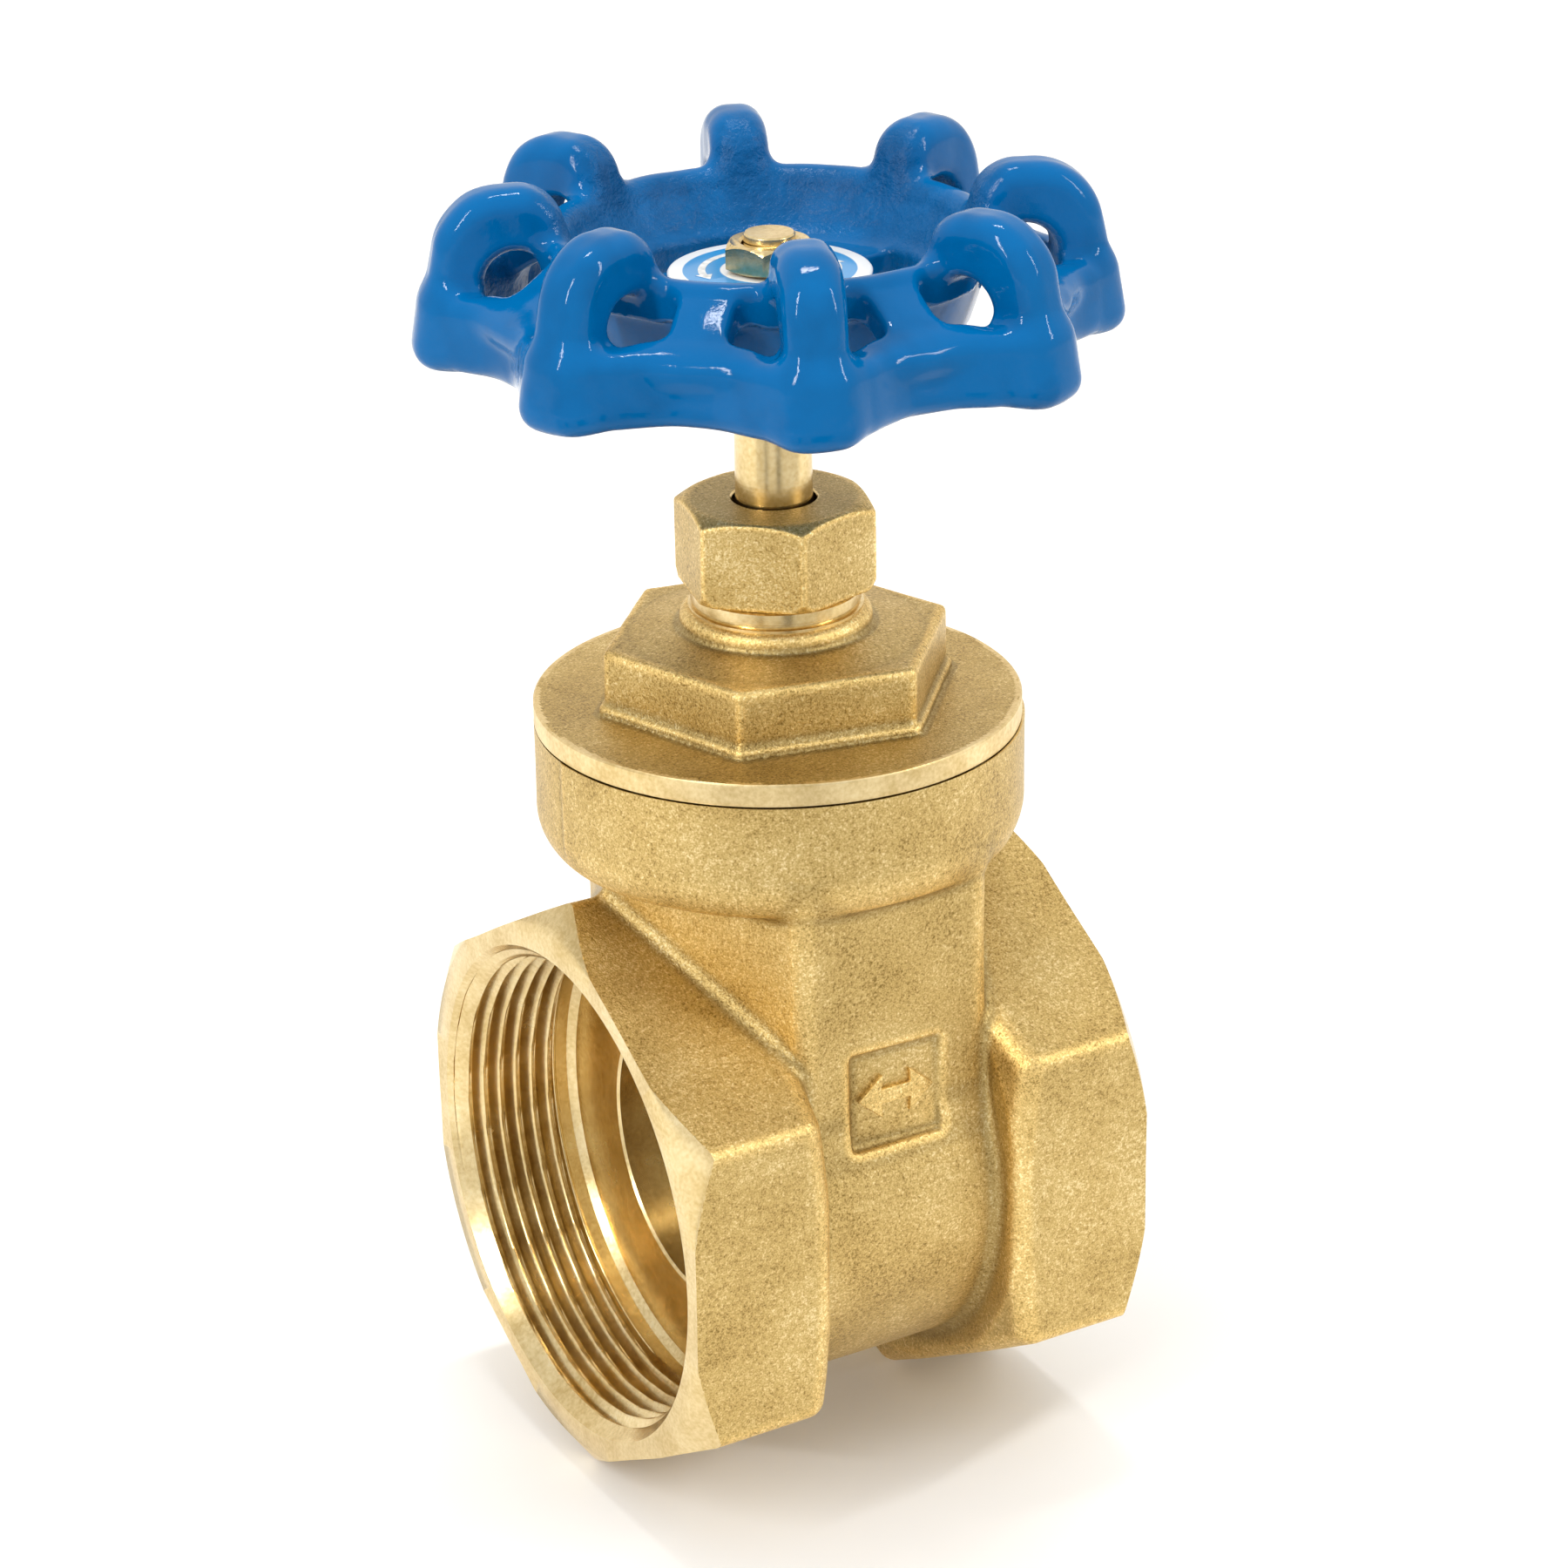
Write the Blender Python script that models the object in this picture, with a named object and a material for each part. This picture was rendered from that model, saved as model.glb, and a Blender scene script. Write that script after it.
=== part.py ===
"""Two inch brass gate valve with threaded ends, a screwed-in bonnet and a lobed handwheel.

Metres, +Z up. The origin is where the pipe axis (X) crosses the stem axis (Z). The gate is shut.
"""

import math

import bmesh
import bpy

MM = 0.001
GAP = 0.3 * MM  # running or resting gap between neighbouring pieces
ROUND = 64  # facets round a large turned shape
SMALL_ROUND = 40  # facets round a small turned shape

# Pipe ends
END_FACE_X = 31.1 * MM
HEX_APOTHEM = 32.8 * MM
FACE_RADIUS = 34.3 * MM
RIDGE_END_X = 28.5 * MM
BLOCK_START_X = 12.6 * MM
MOUTH_RADIUS = 30.6 * MM
SOCKET_RADIUS = 29.2 * MM
MOUTH_DEPTH = 1.6 * MM
SHOULDER_X = 13.85 * MM
PORT_RADIUS = 17.7 * MM

# Gate chamber
BARREL_RADIUS = 28.6 * MM
CHAMBER_HALF_Y = 26.0 * MM
CHAMBER_CORNER_X = 12.5 * MM
CHAMBER_TIP_X = 24.0 * MM
CHAMBER_FOOT_Z = 9.0 * MM
CHAMBER_TOP_Z = 46.0 * MM
CAVITY_HALF_X = 11.2 * MM
CAVITY_RADIUS = 23.8 * MM
CAVITY_HALF_Y = 22.4 * MM
SEAT_RING_RADIUS = 20.6 * MM
RIB_HALF_X = 1.5 * MM
RIB_DEPTH = 2.0 * MM
RIB_FOOT_Z = -4.3 * MM
RIB_TOP_Z = 40.0 * MM
SLOT_FOOT_Z = -0.7 * MM
PAD_HALF_X = 6.3 * MM
PAD_FOOT_Z = 10.2 * MM
PAD_TOP_Z = 22.6 * MM
PAD_DEPTH = 0.7 * MM
ARROW_HALF_LENGTH = 4.6 * MM
ARROW_HEAD = 2.2 * MM
ARROW_SHAFT_HALF = 0.6 * MM
ARROW_HEIGHT = 0.5 * MM

# Collar that the bonnet screws into
COLLAR_RADIUS = 29.0 * MM
COLLAR_TOP_Z = 55.65 * MM
COLLAR_ROUND_Z = 44.0 * MM
COLLAR_FOOT_Z = 39.0 * MM
COLLAR_FOOT_RADIUS = 24.6 * MM
COLLAR_BORE_RADIUS = 24.0 * MM
COLLAR_BORE_FOOT_Z = 43.0 * MM
GASKET_SEAT_RADIUS = 26.6 * MM
GASKET_SEAT_Z = 54.6 * MM

# Bonnet
FLANGE_RADIUS = 28.8 * MM
FLANGE_FOOT_Z = 55.95 * MM
FLANGE_TOP_Z = 58.4 * MM
BONNET_HEX_RADIUS = 21.24 * MM
BONNET_HEX_TURN = math.radians(-11.8)
BONNET_HEX_TOP_Z = 66.25 * MM
BONNET_HEX_SKIRT = 1.3 * MM
BONNET_HEX_EDGE = 0.5 * MM
BOSS_RADIUS = 11.15 * MM
BOSS_TOP_Z = 69.4 * MM
NECK_RADIUS = 10.0 * MM
NECK_TOP_Z = 71.7 * MM
NECK_THREAD_RADIUS = 8.5 * MM
NECK_THREAD_TOP_Z = 76.8 * MM
SPIGOT_RADIUS = COLLAR_BORE_RADIUS - GAP
SPIGOT_BORE_RADIUS = 21.0 * MM
SPIGOT_FOOT_Z = 47.8 * MM
POCKET_RADIUS = 17.5 * MM
POCKET_TOP_Z = 56.8 * MM
POCKET_NARROW_RADIUS = 13.5 * MM
POCKET_NARROW_Z = 59.0 * MM
COLLAR_BORE_IN_BONNET = 9.3 * MM
BONNET_SHOULDER_Z = 67.0 * MM
STUFFING_BOX_RADIUS = 6.9 * MM
STUFFING_BOX_FLOOR_Z = 68.8 * MM

# Stem
STEM_RADIUS = 4.5 * MM
STEM_FOOT_Z = 14.0 * MM
STEM_COLLAR_RADIUS = 8.6 * MM
STEM_COLLAR_FOOT_Z = 63.9 * MM
STEM_COLLAR_TOP_Z = 65.6 * MM
DRIVE_FOOT_Z = 101.6 * MM
DRIVE_ACROSS = 6.3 * MM
DRIVE_TOP_Z = 108.4 * MM
STEM_TIP_RADIUS = 2.93 * MM
STEM_TOP_Z = 114.05 * MM
STEM_HOLE_RADIUS = STEM_RADIUS + GAP

# Gate wedge
WEDGE_RADIUS = 20.2 * MM
WEDGE_HALF_THICKNESS = 9.1 * MM
WEDGE_HALF_ANGLE = math.radians(3.0)
WEDGE_HUB_RADIUS = 7.6 * MM
WEDGE_HUB_FOOT_Z = 12.0 * MM
WEDGE_HUB_TOP_Z = 23.4 * MM
GATE_TRAVEL = 37.5 * MM
SPANNER_SLOT = 0.9 * MM

# Stuffing box parts and gland nut
WASHER_RADIUS = STUFFING_BOX_RADIUS - GAP
BASE_WASHER_HEIGHT = 0.8 * MM
PACKING_HEIGHT = 1.5 * MM
GLAND_TOP_Z = 79.95 * MM
GLAND_RIM_FOOT_Z = 78.2 * MM
GLAND_RIM_RADIUS = 8.4 * MM
GLAND_NUT_FOOT_Z = 72.0 * MM
GLAND_NUT_TOP_Z = 82.55 * MM
GLAND_NUT_RADIUS = 12.12 * MM
GLAND_NUT_CHAMFER_RADIUS = 10.35 * MM
GLAND_NUT_CHAMFER = 1.0 * MM
GLAND_NUT_TURN = math.radians(15.6)
GLAND_NUT_BORE = NECK_THREAD_RADIUS + GAP
GLAND_NUT_HOLE = 4.96 * MM

# Handwheel
LOBES = 8
LOBE_TURN = math.radians(22.4)
WHEEL_FOOT_Z = 101.3 * MM
BAND_TOP_Z = 107.6 * MM
BAND_VALLEY_RADIUS = 34.0 * MM
BAND_LOBE_RADIUS = 39.9 * MM
BAND_THICKNESS = 4.6 * MM
BAND_STEPS_PER_LOBE = 10
RING_RADIUS = 23.1 * MM
RING_TOP_Z = 115.0 * MM
RING_WALL = 2.6 * MM
BOWL_FLOOR_RADIUS = 18.4 * MM
BOWL_FLOOR_Z = 108.2 * MM
BOWL_SKIRT_Z = 103.4 * MM
FLOOR_THICKNESS = 3.0 * MM
HUB_RADIUS = 11.9 * MM
HUB_NECK_RADIUS = 8.4 * MM
HUB_TOP_Z = 108.9 * MM
HUB_FOOT_Z = 101.9 * MM
FLOOR_OPENINGS = 3
FLOOR_OPENING_TURN = math.radians(-23.0)
FLOOR_OPENING_SPAN = math.radians(66.0)
BAR_WIDTH = 5.4 * MM
BAR_THICKNESS = 3.6 * MM
ARCH_WIDTH = 7.4 * MM
ARCH_SIDES = 8

# Name plate and wheel nut
PLATE_RADIUS = 11.65 * MM
PLATE_THICKNESS = 0.5 * MM
PLATE_HOLE = 3.3 * MM
WHEEL_NUT_RADIUS = 5.34 * MM
WHEEL_NUT_TURN = math.radians(50.6)
WHEEL_NUT_HEIGHT = 3.1 * MM
WHEEL_NUT_CHAMFER = 0.55 * MM

BRASS_CAST = ("brass_cast", (0.70, 0.47, 0.16), 1.0, 0.45)
BRASS_TURNED = ("brass_turned", (0.80, 0.58, 0.24), 1.0, 0.22)
ENAMEL = ("blue_enamel", (0.004, 0.125, 0.46), 0.0, 0.12)
PACKING = ("graphite_packing", (0.09, 0.09, 0.095), 0.0, 0.8)
FIBRE = ("gasket_fibre", (0.10, 0.10, 0.11), 0.0, 0.75)
PLATE = ("printed_plate", (0.85, 0.86, 0.87), 0.2, 0.35)


def clear_scene():
    for obj in list(bpy.data.objects):
        bpy.data.objects.remove(obj, do_unlink=True)


def material(spec):
    name, colour, metallic, roughness = spec
    found = bpy.data.materials.get(name)
    if found:
        return found
    made = bpy.data.materials.new(name)
    made.use_nodes = True
    shader = made.node_tree.nodes["Principled BSDF"]
    shader.inputs["Base Color"].default_value = (*colour, 1.0)
    shader.inputs["Metallic"].default_value = metallic
    shader.inputs["Roughness"].default_value = roughness
    return made


def as_object(name, bm, spec=BRASS_CAST):
    """A scene object of this bmesh, smooth but for its sharp edges."""
    bmesh.ops.recalc_face_normals(bm, faces=bm.faces)
    mesh = bpy.data.meshes.new(name)
    bm.to_mesh(mesh)
    bm.free()
    mesh.materials.append(material(spec))
    mesh.shade_smooth()
    mesh.set_sharp_from_angle(angle=math.radians(32))
    obj = bpy.data.objects.new(name, mesh)
    bpy.context.scene.collection.objects.link(obj)
    return obj


def combine(obj, other, operation):
    """Joins or cuts obj with other by a Boolean, applies it and removes other."""
    modifier = obj.modifiers.new(operation.lower(), "BOOLEAN")
    modifier.operation = operation
    modifier.solver = "EXACT"
    modifier.object = other
    graph = bpy.context.evaluated_depsgraph_get()
    result = bpy.data.meshes.new_from_object(obj.evaluated_get(graph))
    obj.modifiers.clear()
    old = obj.data
    obj.data = result
    bpy.data.meshes.remove(old)
    bpy.data.objects.remove(other, do_unlink=True)
    result.set_sharp_from_angle(angle=math.radians(32))
    return obj


def turned(profile, facets=SMALL_ROUND, axis="Z"):
    """A solid of revolution. profile is a closed outline of (radius, height), and radius 0 is on the axis."""
    bm = bmesh.new()
    rings = []
    for radius, height in profile:
        if radius == 0:
            rings.append([bm.verts.new((0, 0, height))])
            continue
        angles = [math.tau * k / facets for k in range(facets)]
        rings.append([bm.verts.new((radius * math.cos(a), radius * math.sin(a), height)) for a in angles])
    for ring, after in zip(rings, rings[1:] + rings[:1]):
        if len(ring) == 1 and len(after) == 1:
            continue
        for k in range(facets):
            corners = [ring[k % len(ring)], ring[(k + 1) % len(ring)]]
            corners += [after[(k + 1) % len(after)], after[k % len(after)]]
            bm.faces.new(list(dict.fromkeys(corners)))
    if axis == "X":
        for vert in bm.verts:
            x, y, z = vert.co
            vert.co = (z, x, y)
    return bm


def cylinder(radius, low, high, facets=SMALL_ROUND, axis="Z"):
    return turned([(0, low), (radius, low), (radius, high), (0, high)], facets, axis)


def tube(inner, outer, low, high, facets=SMALL_ROUND, axis="Z"):
    return turned([(inner, low), (outer, low), (outer, high), (inner, high)], facets, axis)


def prism(outline, low, high, axis="Z"):
    """An extruded outline of (x, y) points. About X the outline is (y, z), and about Y it is (x, z)."""
    bm = bmesh.new()
    ends = []
    for height in (low, high):
        if axis == "Z":
            points = [(a, b, height) for a, b in outline]
        elif axis == "X":
            points = [(height, a, b) for a, b in outline]
        else:
            points = [(a, height, b) for a, b in outline]
        ends.append([bm.verts.new(point) for point in points])
    bm.faces.new(ends[0])
    bm.faces.new(ends[1])
    count = len(outline)
    for k in range(count):
        after = (k + 1) % count
        bm.faces.new([ends[0][k], ends[0][after], ends[1][after], ends[1][k]])
    return bm


def polygon(radius, turn=0.0, sides=6):
    angles = [turn + math.tau * k / sides for k in range(sides)]
    return [(radius * math.cos(a), radius * math.sin(a)) for a in angles]


def rectangle(half_a, half_b, centre_a=0.0, centre_b=0.0):
    corners = ((-1, -1), (1, -1), (1, 1), (-1, 1))
    return [(centre_a + a * half_a, centre_b + b * half_b) for a, b in corners]


def hex_nut(name, radius, turn, low, high, chamfers, spec):
    """A hexagonal prism with turned chamfers. chamfers holds (radius at the end face, depth) for each end."""
    nut = as_object(name, prism(polygon(radius, turn), low, high), spec)
    (low_radius, low_depth), (high_radius, high_depth) = chamfers
    clear = radius * 1.05
    slope_low = (clear - low_radius) * low_depth / (radius - low_radius)
    slope_high = (clear - high_radius) * high_depth / (radius - high_radius)
    profile = [(0, low - GAP), (low_radius, low - GAP), (low_radius, low), (clear, low + slope_low)]
    profile += [(clear, high - slope_high), (high_radius, high), (high_radius, high + GAP), (0, high + GAP)]
    return combine(nut, as_object("chamfer_form", turned(profile, ROUND)), "INTERSECT")


# ---------------------------------------------------------------- valve body


def end_block(side):
    """One hexagonal pipe end, ridge up, with its face corners turned off."""
    ridge_radius = HEX_APOTHEM / math.cos(math.pi / 6)
    outline = polygon(ridge_radius, math.pi / 2)
    block = as_object("end_block", prism(outline, side * BLOCK_START_X, side * END_FACE_X, "X"))
    over = ridge_radius * 1.02
    slope = (END_FACE_X - RIDGE_END_X) / (ridge_radius - FACE_RADIUS)
    cone_x = END_FACE_X - (over - FACE_RADIUS) * slope
    profile = [(0, 0), (over, 0), (over, side * cone_x), (FACE_RADIUS, side * END_FACE_X)]
    profile += [(FACE_RADIUS, side * (END_FACE_X + GAP)), (0, side * (END_FACE_X + GAP))]
    return combine(block, as_object("face_form", turned(profile, ROUND, "X")), "INTERSECT")


def chamber_outline(inset=0.0):
    tip = CHAMBER_TIP_X - inset
    corner = CHAMBER_CORNER_X - inset
    half = CHAMBER_HALF_Y - inset
    return [(tip, 0), (corner, half), (-corner, half), (-tip, 0), (-corner, -half), (corner, -half)]


def taper_form(offset, radius):
    """A disc about X, thicker at its top, as the wedge is. offset moves both faces outwards."""
    disc = as_object("taper_form", cylinder(radius, -CAVITY_HALF_X * 1.4, CAVITY_HALF_X * 1.4, ROUND, "X"))
    half = WEDGE_HALF_THICKNESS + offset
    lean = radius * 1.1 * math.tan(WEDGE_HALF_ANGLE)
    z = radius * 1.1
    outline = [(-half + lean, -z), (half - lean, -z), (half + lean, z), (-half - lean, z)]
    return combine(disc, as_object("faces_form", prism(outline, -2 * radius, 2 * radius, "Y")), "INTERSECT")


def flow_arrow():
    """A plain double-headed arrow, raised on the pad."""
    tip = ARROW_HALF_LENGTH
    neck = ARROW_HALF_LENGTH - ARROW_HEAD
    head = ARROW_HEAD * 0.8
    shaft = ARROW_SHAFT_HALF
    right = [(neck, -shaft), (neck, -head), (tip, 0), (neck, head), (neck, shaft)]
    left = [(-a, -b) for a, b in right]
    middle = (PAD_FOOT_Z + PAD_TOP_Z) / 2
    outline = [(a, middle + b) for a, b in right + left]
    pad_y = -CHAMBER_HALF_Y + PAD_DEPTH
    return prism(outline, pad_y - ARROW_HEIGHT, pad_y + PAD_DEPTH, "Y")


def build_body():
    body = end_block(-1)
    body.name = "valve_body"
    combine(body, end_block(1), "UNION")
    reach = BLOCK_START_X + 2 * MM
    combine(body, as_object("barrel", cylinder(BARREL_RADIUS, -reach, reach, ROUND, "X")), "UNION")
    chamber = prism(chamber_outline(), CHAMBER_FOOT_Z, CHAMBER_TOP_Z)
    combine(body, as_object("chamber", chamber), "UNION")
    collar = [(0, COLLAR_FOOT_Z), (COLLAR_FOOT_RADIUS, COLLAR_FOOT_Z)]
    collar += [(COLLAR_RADIUS - 1.2 * MM, COLLAR_ROUND_Z - 2.6 * MM), (COLLAR_RADIUS, COLLAR_ROUND_Z)]
    collar += [(COLLAR_RADIUS, COLLAR_TOP_Z), (0, COLLAR_TOP_Z)]
    combine(body, as_object("collar", turned(collar, ROUND)), "UNION")

    cavity = cylinder(CAVITY_RADIUS, -CAVITY_HALF_X, CAVITY_HALF_X, ROUND, "X")
    combine(body, as_object("cavity", cavity), "DIFFERENCE")
    slot = prism(rectangle(CAVITY_HALF_X, CAVITY_HALF_Y), SLOT_FOOT_Z, COLLAR_BORE_FOOT_Z + MM)
    combine(body, as_object("slot", slot), "DIFFERENCE")
    for side in (-1, 1):
        ring = cylinder(SEAT_RING_RADIUS, side * CAVITY_HALF_X / 2, side * (CAVITY_HALF_X + MM), ROUND, "X")
        combine(body, as_object("seat_ring", ring), "UNION")
        middle = side * (CAVITY_HALF_Y + MM - RIB_DEPTH / 2)
        rib = prism(rectangle(RIB_HALF_X, RIB_DEPTH / 2 + MM, 0, middle), RIB_FOOT_Z, RIB_TOP_Z)
        combine(body, as_object("guide_rib", rib), "UNION")
    combine(body, taper_form(GAP, SEAT_RING_RADIUS + 0.4 * MM), "DIFFERENCE")

    bore = [(0, COLLAR_BORE_FOOT_Z), (COLLAR_BORE_RADIUS - 0.6 * MM, COLLAR_BORE_FOOT_Z)]
    bore += [(COLLAR_BORE_RADIUS, COLLAR_BORE_FOOT_Z + MM), (COLLAR_BORE_RADIUS, GASKET_SEAT_Z)]
    bore += [(GASKET_SEAT_RADIUS, GASKET_SEAT_Z), (GASKET_SEAT_RADIUS, COLLAR_TOP_Z + MM)]
    bore += [(0, COLLAR_TOP_Z + MM)]
    combine(body, as_object("bonnet_bore", turned(bore, ROUND)), "DIFFERENCE")

    passage = [(PORT_RADIUS, SHOULDER_X), (SOCKET_RADIUS - 1.4 * MM, SHOULDER_X)]
    passage += [(SOCKET_RADIUS, SHOULDER_X + 1.4 * MM), (SOCKET_RADIUS, END_FACE_X - MOUTH_DEPTH)]
    passage += [(MOUTH_RADIUS, END_FACE_X), (MOUTH_RADIUS, END_FACE_X + MM), (0, END_FACE_X + MM)]
    passage = [(radius, -x) for radius, x in reversed(passage)] + passage
    combine(body, as_object("passage", turned(passage, ROUND, "X")), "DIFFERENCE")

    outline = rectangle(PAD_HALF_X, (PAD_TOP_Z - PAD_FOOT_Z) / 2, 0, (PAD_TOP_Z + PAD_FOOT_Z) / 2)
    pad = prism(outline, -CHAMBER_HALF_Y - 4 * MM, -CHAMBER_HALF_Y + PAD_DEPTH, "Y")
    combine(body, as_object("pad", pad), "DIFFERENCE")
    combine(body, as_object("arrow", flow_arrow()), "UNION")


# ------------------------------------------------------------------- bonnet


def build_bonnet():
    flange = [(0, SPIGOT_FOOT_Z), (SPIGOT_RADIUS - 0.6 * MM, SPIGOT_FOOT_Z)]
    flange += [(SPIGOT_RADIUS, SPIGOT_FOOT_Z + 0.6 * MM), (SPIGOT_RADIUS, FLANGE_FOOT_Z)]
    flange += [(FLANGE_RADIUS, FLANGE_FOOT_Z), (FLANGE_RADIUS, FLANGE_TOP_Z - 0.2 * MM)]
    flange += [(FLANGE_RADIUS - 0.2 * MM, FLANGE_TOP_Z), (0, FLANGE_TOP_Z)]
    bonnet = as_object("bonnet", turned(flange, ROUND))
    foot = FLANGE_TOP_Z - MM
    base = bmesh.new()
    rows = []
    skirt = BONNET_HEX_RADIUS + BONNET_HEX_SKIRT
    edge = BONNET_HEX_RADIUS - BONNET_HEX_EDGE
    levels = [(skirt, foot), (skirt, FLANGE_TOP_Z + 0.1 * MM)]
    levels += [(BONNET_HEX_RADIUS, FLANGE_TOP_Z + BONNET_HEX_SKIRT)]
    levels += [(BONNET_HEX_RADIUS, BONNET_HEX_TOP_Z - BONNET_HEX_EDGE), (edge, BONNET_HEX_TOP_Z)]
    for radius, z in levels:
        rows.append([base.verts.new((x, y, z)) for x, y in polygon(radius, BONNET_HEX_TURN)])
    base.faces.new(rows[0])
    base.faces.new(rows[-1])
    for row, above in zip(rows, rows[1:]):
        for k in range(6):
            base.faces.new([row[k], row[(k + 1) % 6], above[(k + 1) % 6], above[k]])
    combine(bonnet, as_object("bonnet_hex", base), "UNION")
    neck = [(0, BONNET_HEX_TOP_Z - MM), (BOSS_RADIUS, BONNET_HEX_TOP_Z - MM)]
    neck += [(BOSS_RADIUS, BOSS_TOP_Z - 0.7 * MM), (BOSS_RADIUS - 0.7 * MM, BOSS_TOP_Z)]
    neck += [(NECK_RADIUS - 0.5 * MM, BOSS_TOP_Z), (NECK_RADIUS, BOSS_TOP_Z + 0.6 * MM)]
    neck += [(NECK_RADIUS, NECK_TOP_Z), (NECK_THREAD_RADIUS, NECK_TOP_Z)]
    neck += [(NECK_THREAD_RADIUS, NECK_THREAD_TOP_Z - 0.4 * MM)]
    neck += [(NECK_THREAD_RADIUS - 0.4 * MM, NECK_THREAD_TOP_Z), (0, NECK_THREAD_TOP_Z)]
    combine(bonnet, as_object("neck", turned(neck, ROUND)), "UNION")
    inside = [(0, SPIGOT_FOOT_Z - MM), (SPIGOT_BORE_RADIUS, SPIGOT_FOOT_Z - MM)]
    inside += [(SPIGOT_BORE_RADIUS, POCKET_TOP_Z - 3 * MM), (POCKET_RADIUS, POCKET_TOP_Z)]
    inside += [(POCKET_NARROW_RADIUS, POCKET_NARROW_Z), (COLLAR_BORE_IN_BONNET, POCKET_NARROW_Z)]
    inside += [(COLLAR_BORE_IN_BONNET, BONNET_SHOULDER_Z), (STEM_HOLE_RADIUS, BONNET_SHOULDER_Z)]
    inside += [(STEM_HOLE_RADIUS, STUFFING_BOX_FLOOR_Z), (STUFFING_BOX_RADIUS, STUFFING_BOX_FLOOR_Z)]
    inside += [(STUFFING_BOX_RADIUS, NECK_THREAD_TOP_Z + MM), (0, NECK_THREAD_TOP_Z + MM)]
    combine(bonnet, as_object("bonnet_inside", turned(inside, ROUND)), "DIFFERENCE")


def build_gasket():
    inner = COLLAR_BORE_RADIUS + GAP
    outer = GASKET_SEAT_RADIUS - GAP
    as_object("bonnet_gasket", tube(inner, outer, GASKET_SEAT_Z + GAP, FLANGE_FOOT_Z - GAP, ROUND), FIBRE)


# -------------------------------------------------------- stem and its parts


def build_stem():
    profile = [(0, STEM_FOOT_Z), (STEM_RADIUS - 0.8 * MM, STEM_FOOT_Z), (STEM_RADIUS, STEM_FOOT_Z + 0.8 * MM)]
    profile += [(STEM_RADIUS, STEM_COLLAR_FOOT_Z), (STEM_COLLAR_RADIUS, STEM_COLLAR_FOOT_Z)]
    profile += [(STEM_COLLAR_RADIUS, STEM_COLLAR_TOP_Z), (STEM_RADIUS, STEM_COLLAR_TOP_Z)]
    profile += [(STEM_RADIUS, DRIVE_FOOT_Z), (0, DRIVE_FOOT_Z)]
    stem = as_object("stem", turned(profile), BRASS_TURNED)
    half = DRIVE_ACROSS / 2
    drive = prism(rectangle(half, half), DRIVE_FOOT_Z - MM, DRIVE_TOP_Z)
    combine(stem, as_object("drive", drive), "UNION")
    tip = [(0, DRIVE_TOP_Z - MM), (STEM_TIP_RADIUS, DRIVE_TOP_Z - MM)]
    tip += [(STEM_TIP_RADIUS, STEM_TOP_Z - 0.3 * MM), (STEM_TIP_RADIUS - 0.3 * MM, STEM_TOP_Z)]
    tip += [(0, STEM_TOP_Z)]
    combine(stem, as_object("tip", turned(tip)), "UNION")


def build_wedge():
    wedge = taper_form(0.0, WEDGE_RADIUS)
    wedge.name = "gate_wedge"
    hub = cylinder(WEDGE_HUB_RADIUS, WEDGE_HUB_FOOT_Z, WEDGE_HUB_TOP_Z)
    combine(wedge, as_object("hub", hub), "UNION")
    bore = cylinder(STEM_HOLE_RADIUS, -WEDGE_RADIUS - MM, WEDGE_HUB_TOP_Z + MM, SMALL_ROUND)
    combine(wedge, as_object("bore", bore), "DIFFERENCE")
    for side in (-1, 1):
        inner = CAVITY_HALF_Y - RIB_DEPTH - GAP
        groove = prism(rectangle(RIB_HALF_X + GAP, 3 * MM, 0, side * (inner + 3 * MM)), -30 * MM, 30 * MM)
        combine(wedge, as_object("groove", groove), "DIFFERENCE")


def build_lock_ring():
    """The threaded ring that holds the stem's collar up in the bonnet, with two spanner slots."""
    low = WEDGE_HUB_TOP_Z + GATE_TRAVEL + GAP
    outer = COLLAR_BORE_IN_BONNET - GAP
    plain = tube(STEM_HOLE_RADIUS, outer, low, STEM_COLLAR_FOOT_Z - GAP)
    ring = as_object("stem_lock_ring", plain, BRASS_TURNED)
    slot = prism(rectangle(outer * 1.2, SPANNER_SLOT), low - MM, low + SPANNER_SLOT)
    combine(ring, as_object("spanner_slot", slot), "DIFFERENCE")


def build_stuffing_box():
    low = STUFFING_BOX_FLOOR_Z + GAP
    washer = tube(STEM_HOLE_RADIUS, WASHER_RADIUS, low, low + BASE_WASHER_HEIGHT)
    as_object("packing_base_washer", washer, BRASS_TURNED)
    low += BASE_WASHER_HEIGHT + GAP
    for place in ("lower", "middle", "upper"):
        ring = tube(STEM_HOLE_RADIUS, WASHER_RADIUS, low, low + PACKING_HEIGHT)
        as_object("packing_ring_" + place, ring, PACKING)
        low += PACKING_HEIGHT + GAP
    gland = [(STEM_HOLE_RADIUS, low), (WASHER_RADIUS, low), (WASHER_RADIUS, GLAND_RIM_FOOT_Z)]
    gland += [(GLAND_RIM_RADIUS, GLAND_RIM_FOOT_Z), (GLAND_RIM_RADIUS, GLAND_TOP_Z)]
    gland += [(STEM_HOLE_RADIUS, GLAND_TOP_Z)]
    as_object("packing_gland", turned(gland), BRASS_TURNED)


def build_thrust_washer():
    washer = tube(STEM_HOLE_RADIUS, STEM_COLLAR_RADIUS, STEM_COLLAR_TOP_Z + GAP, BONNET_SHOULDER_Z - GAP)
    as_object("stem_thrust_washer", washer, BRASS_TURNED)


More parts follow.
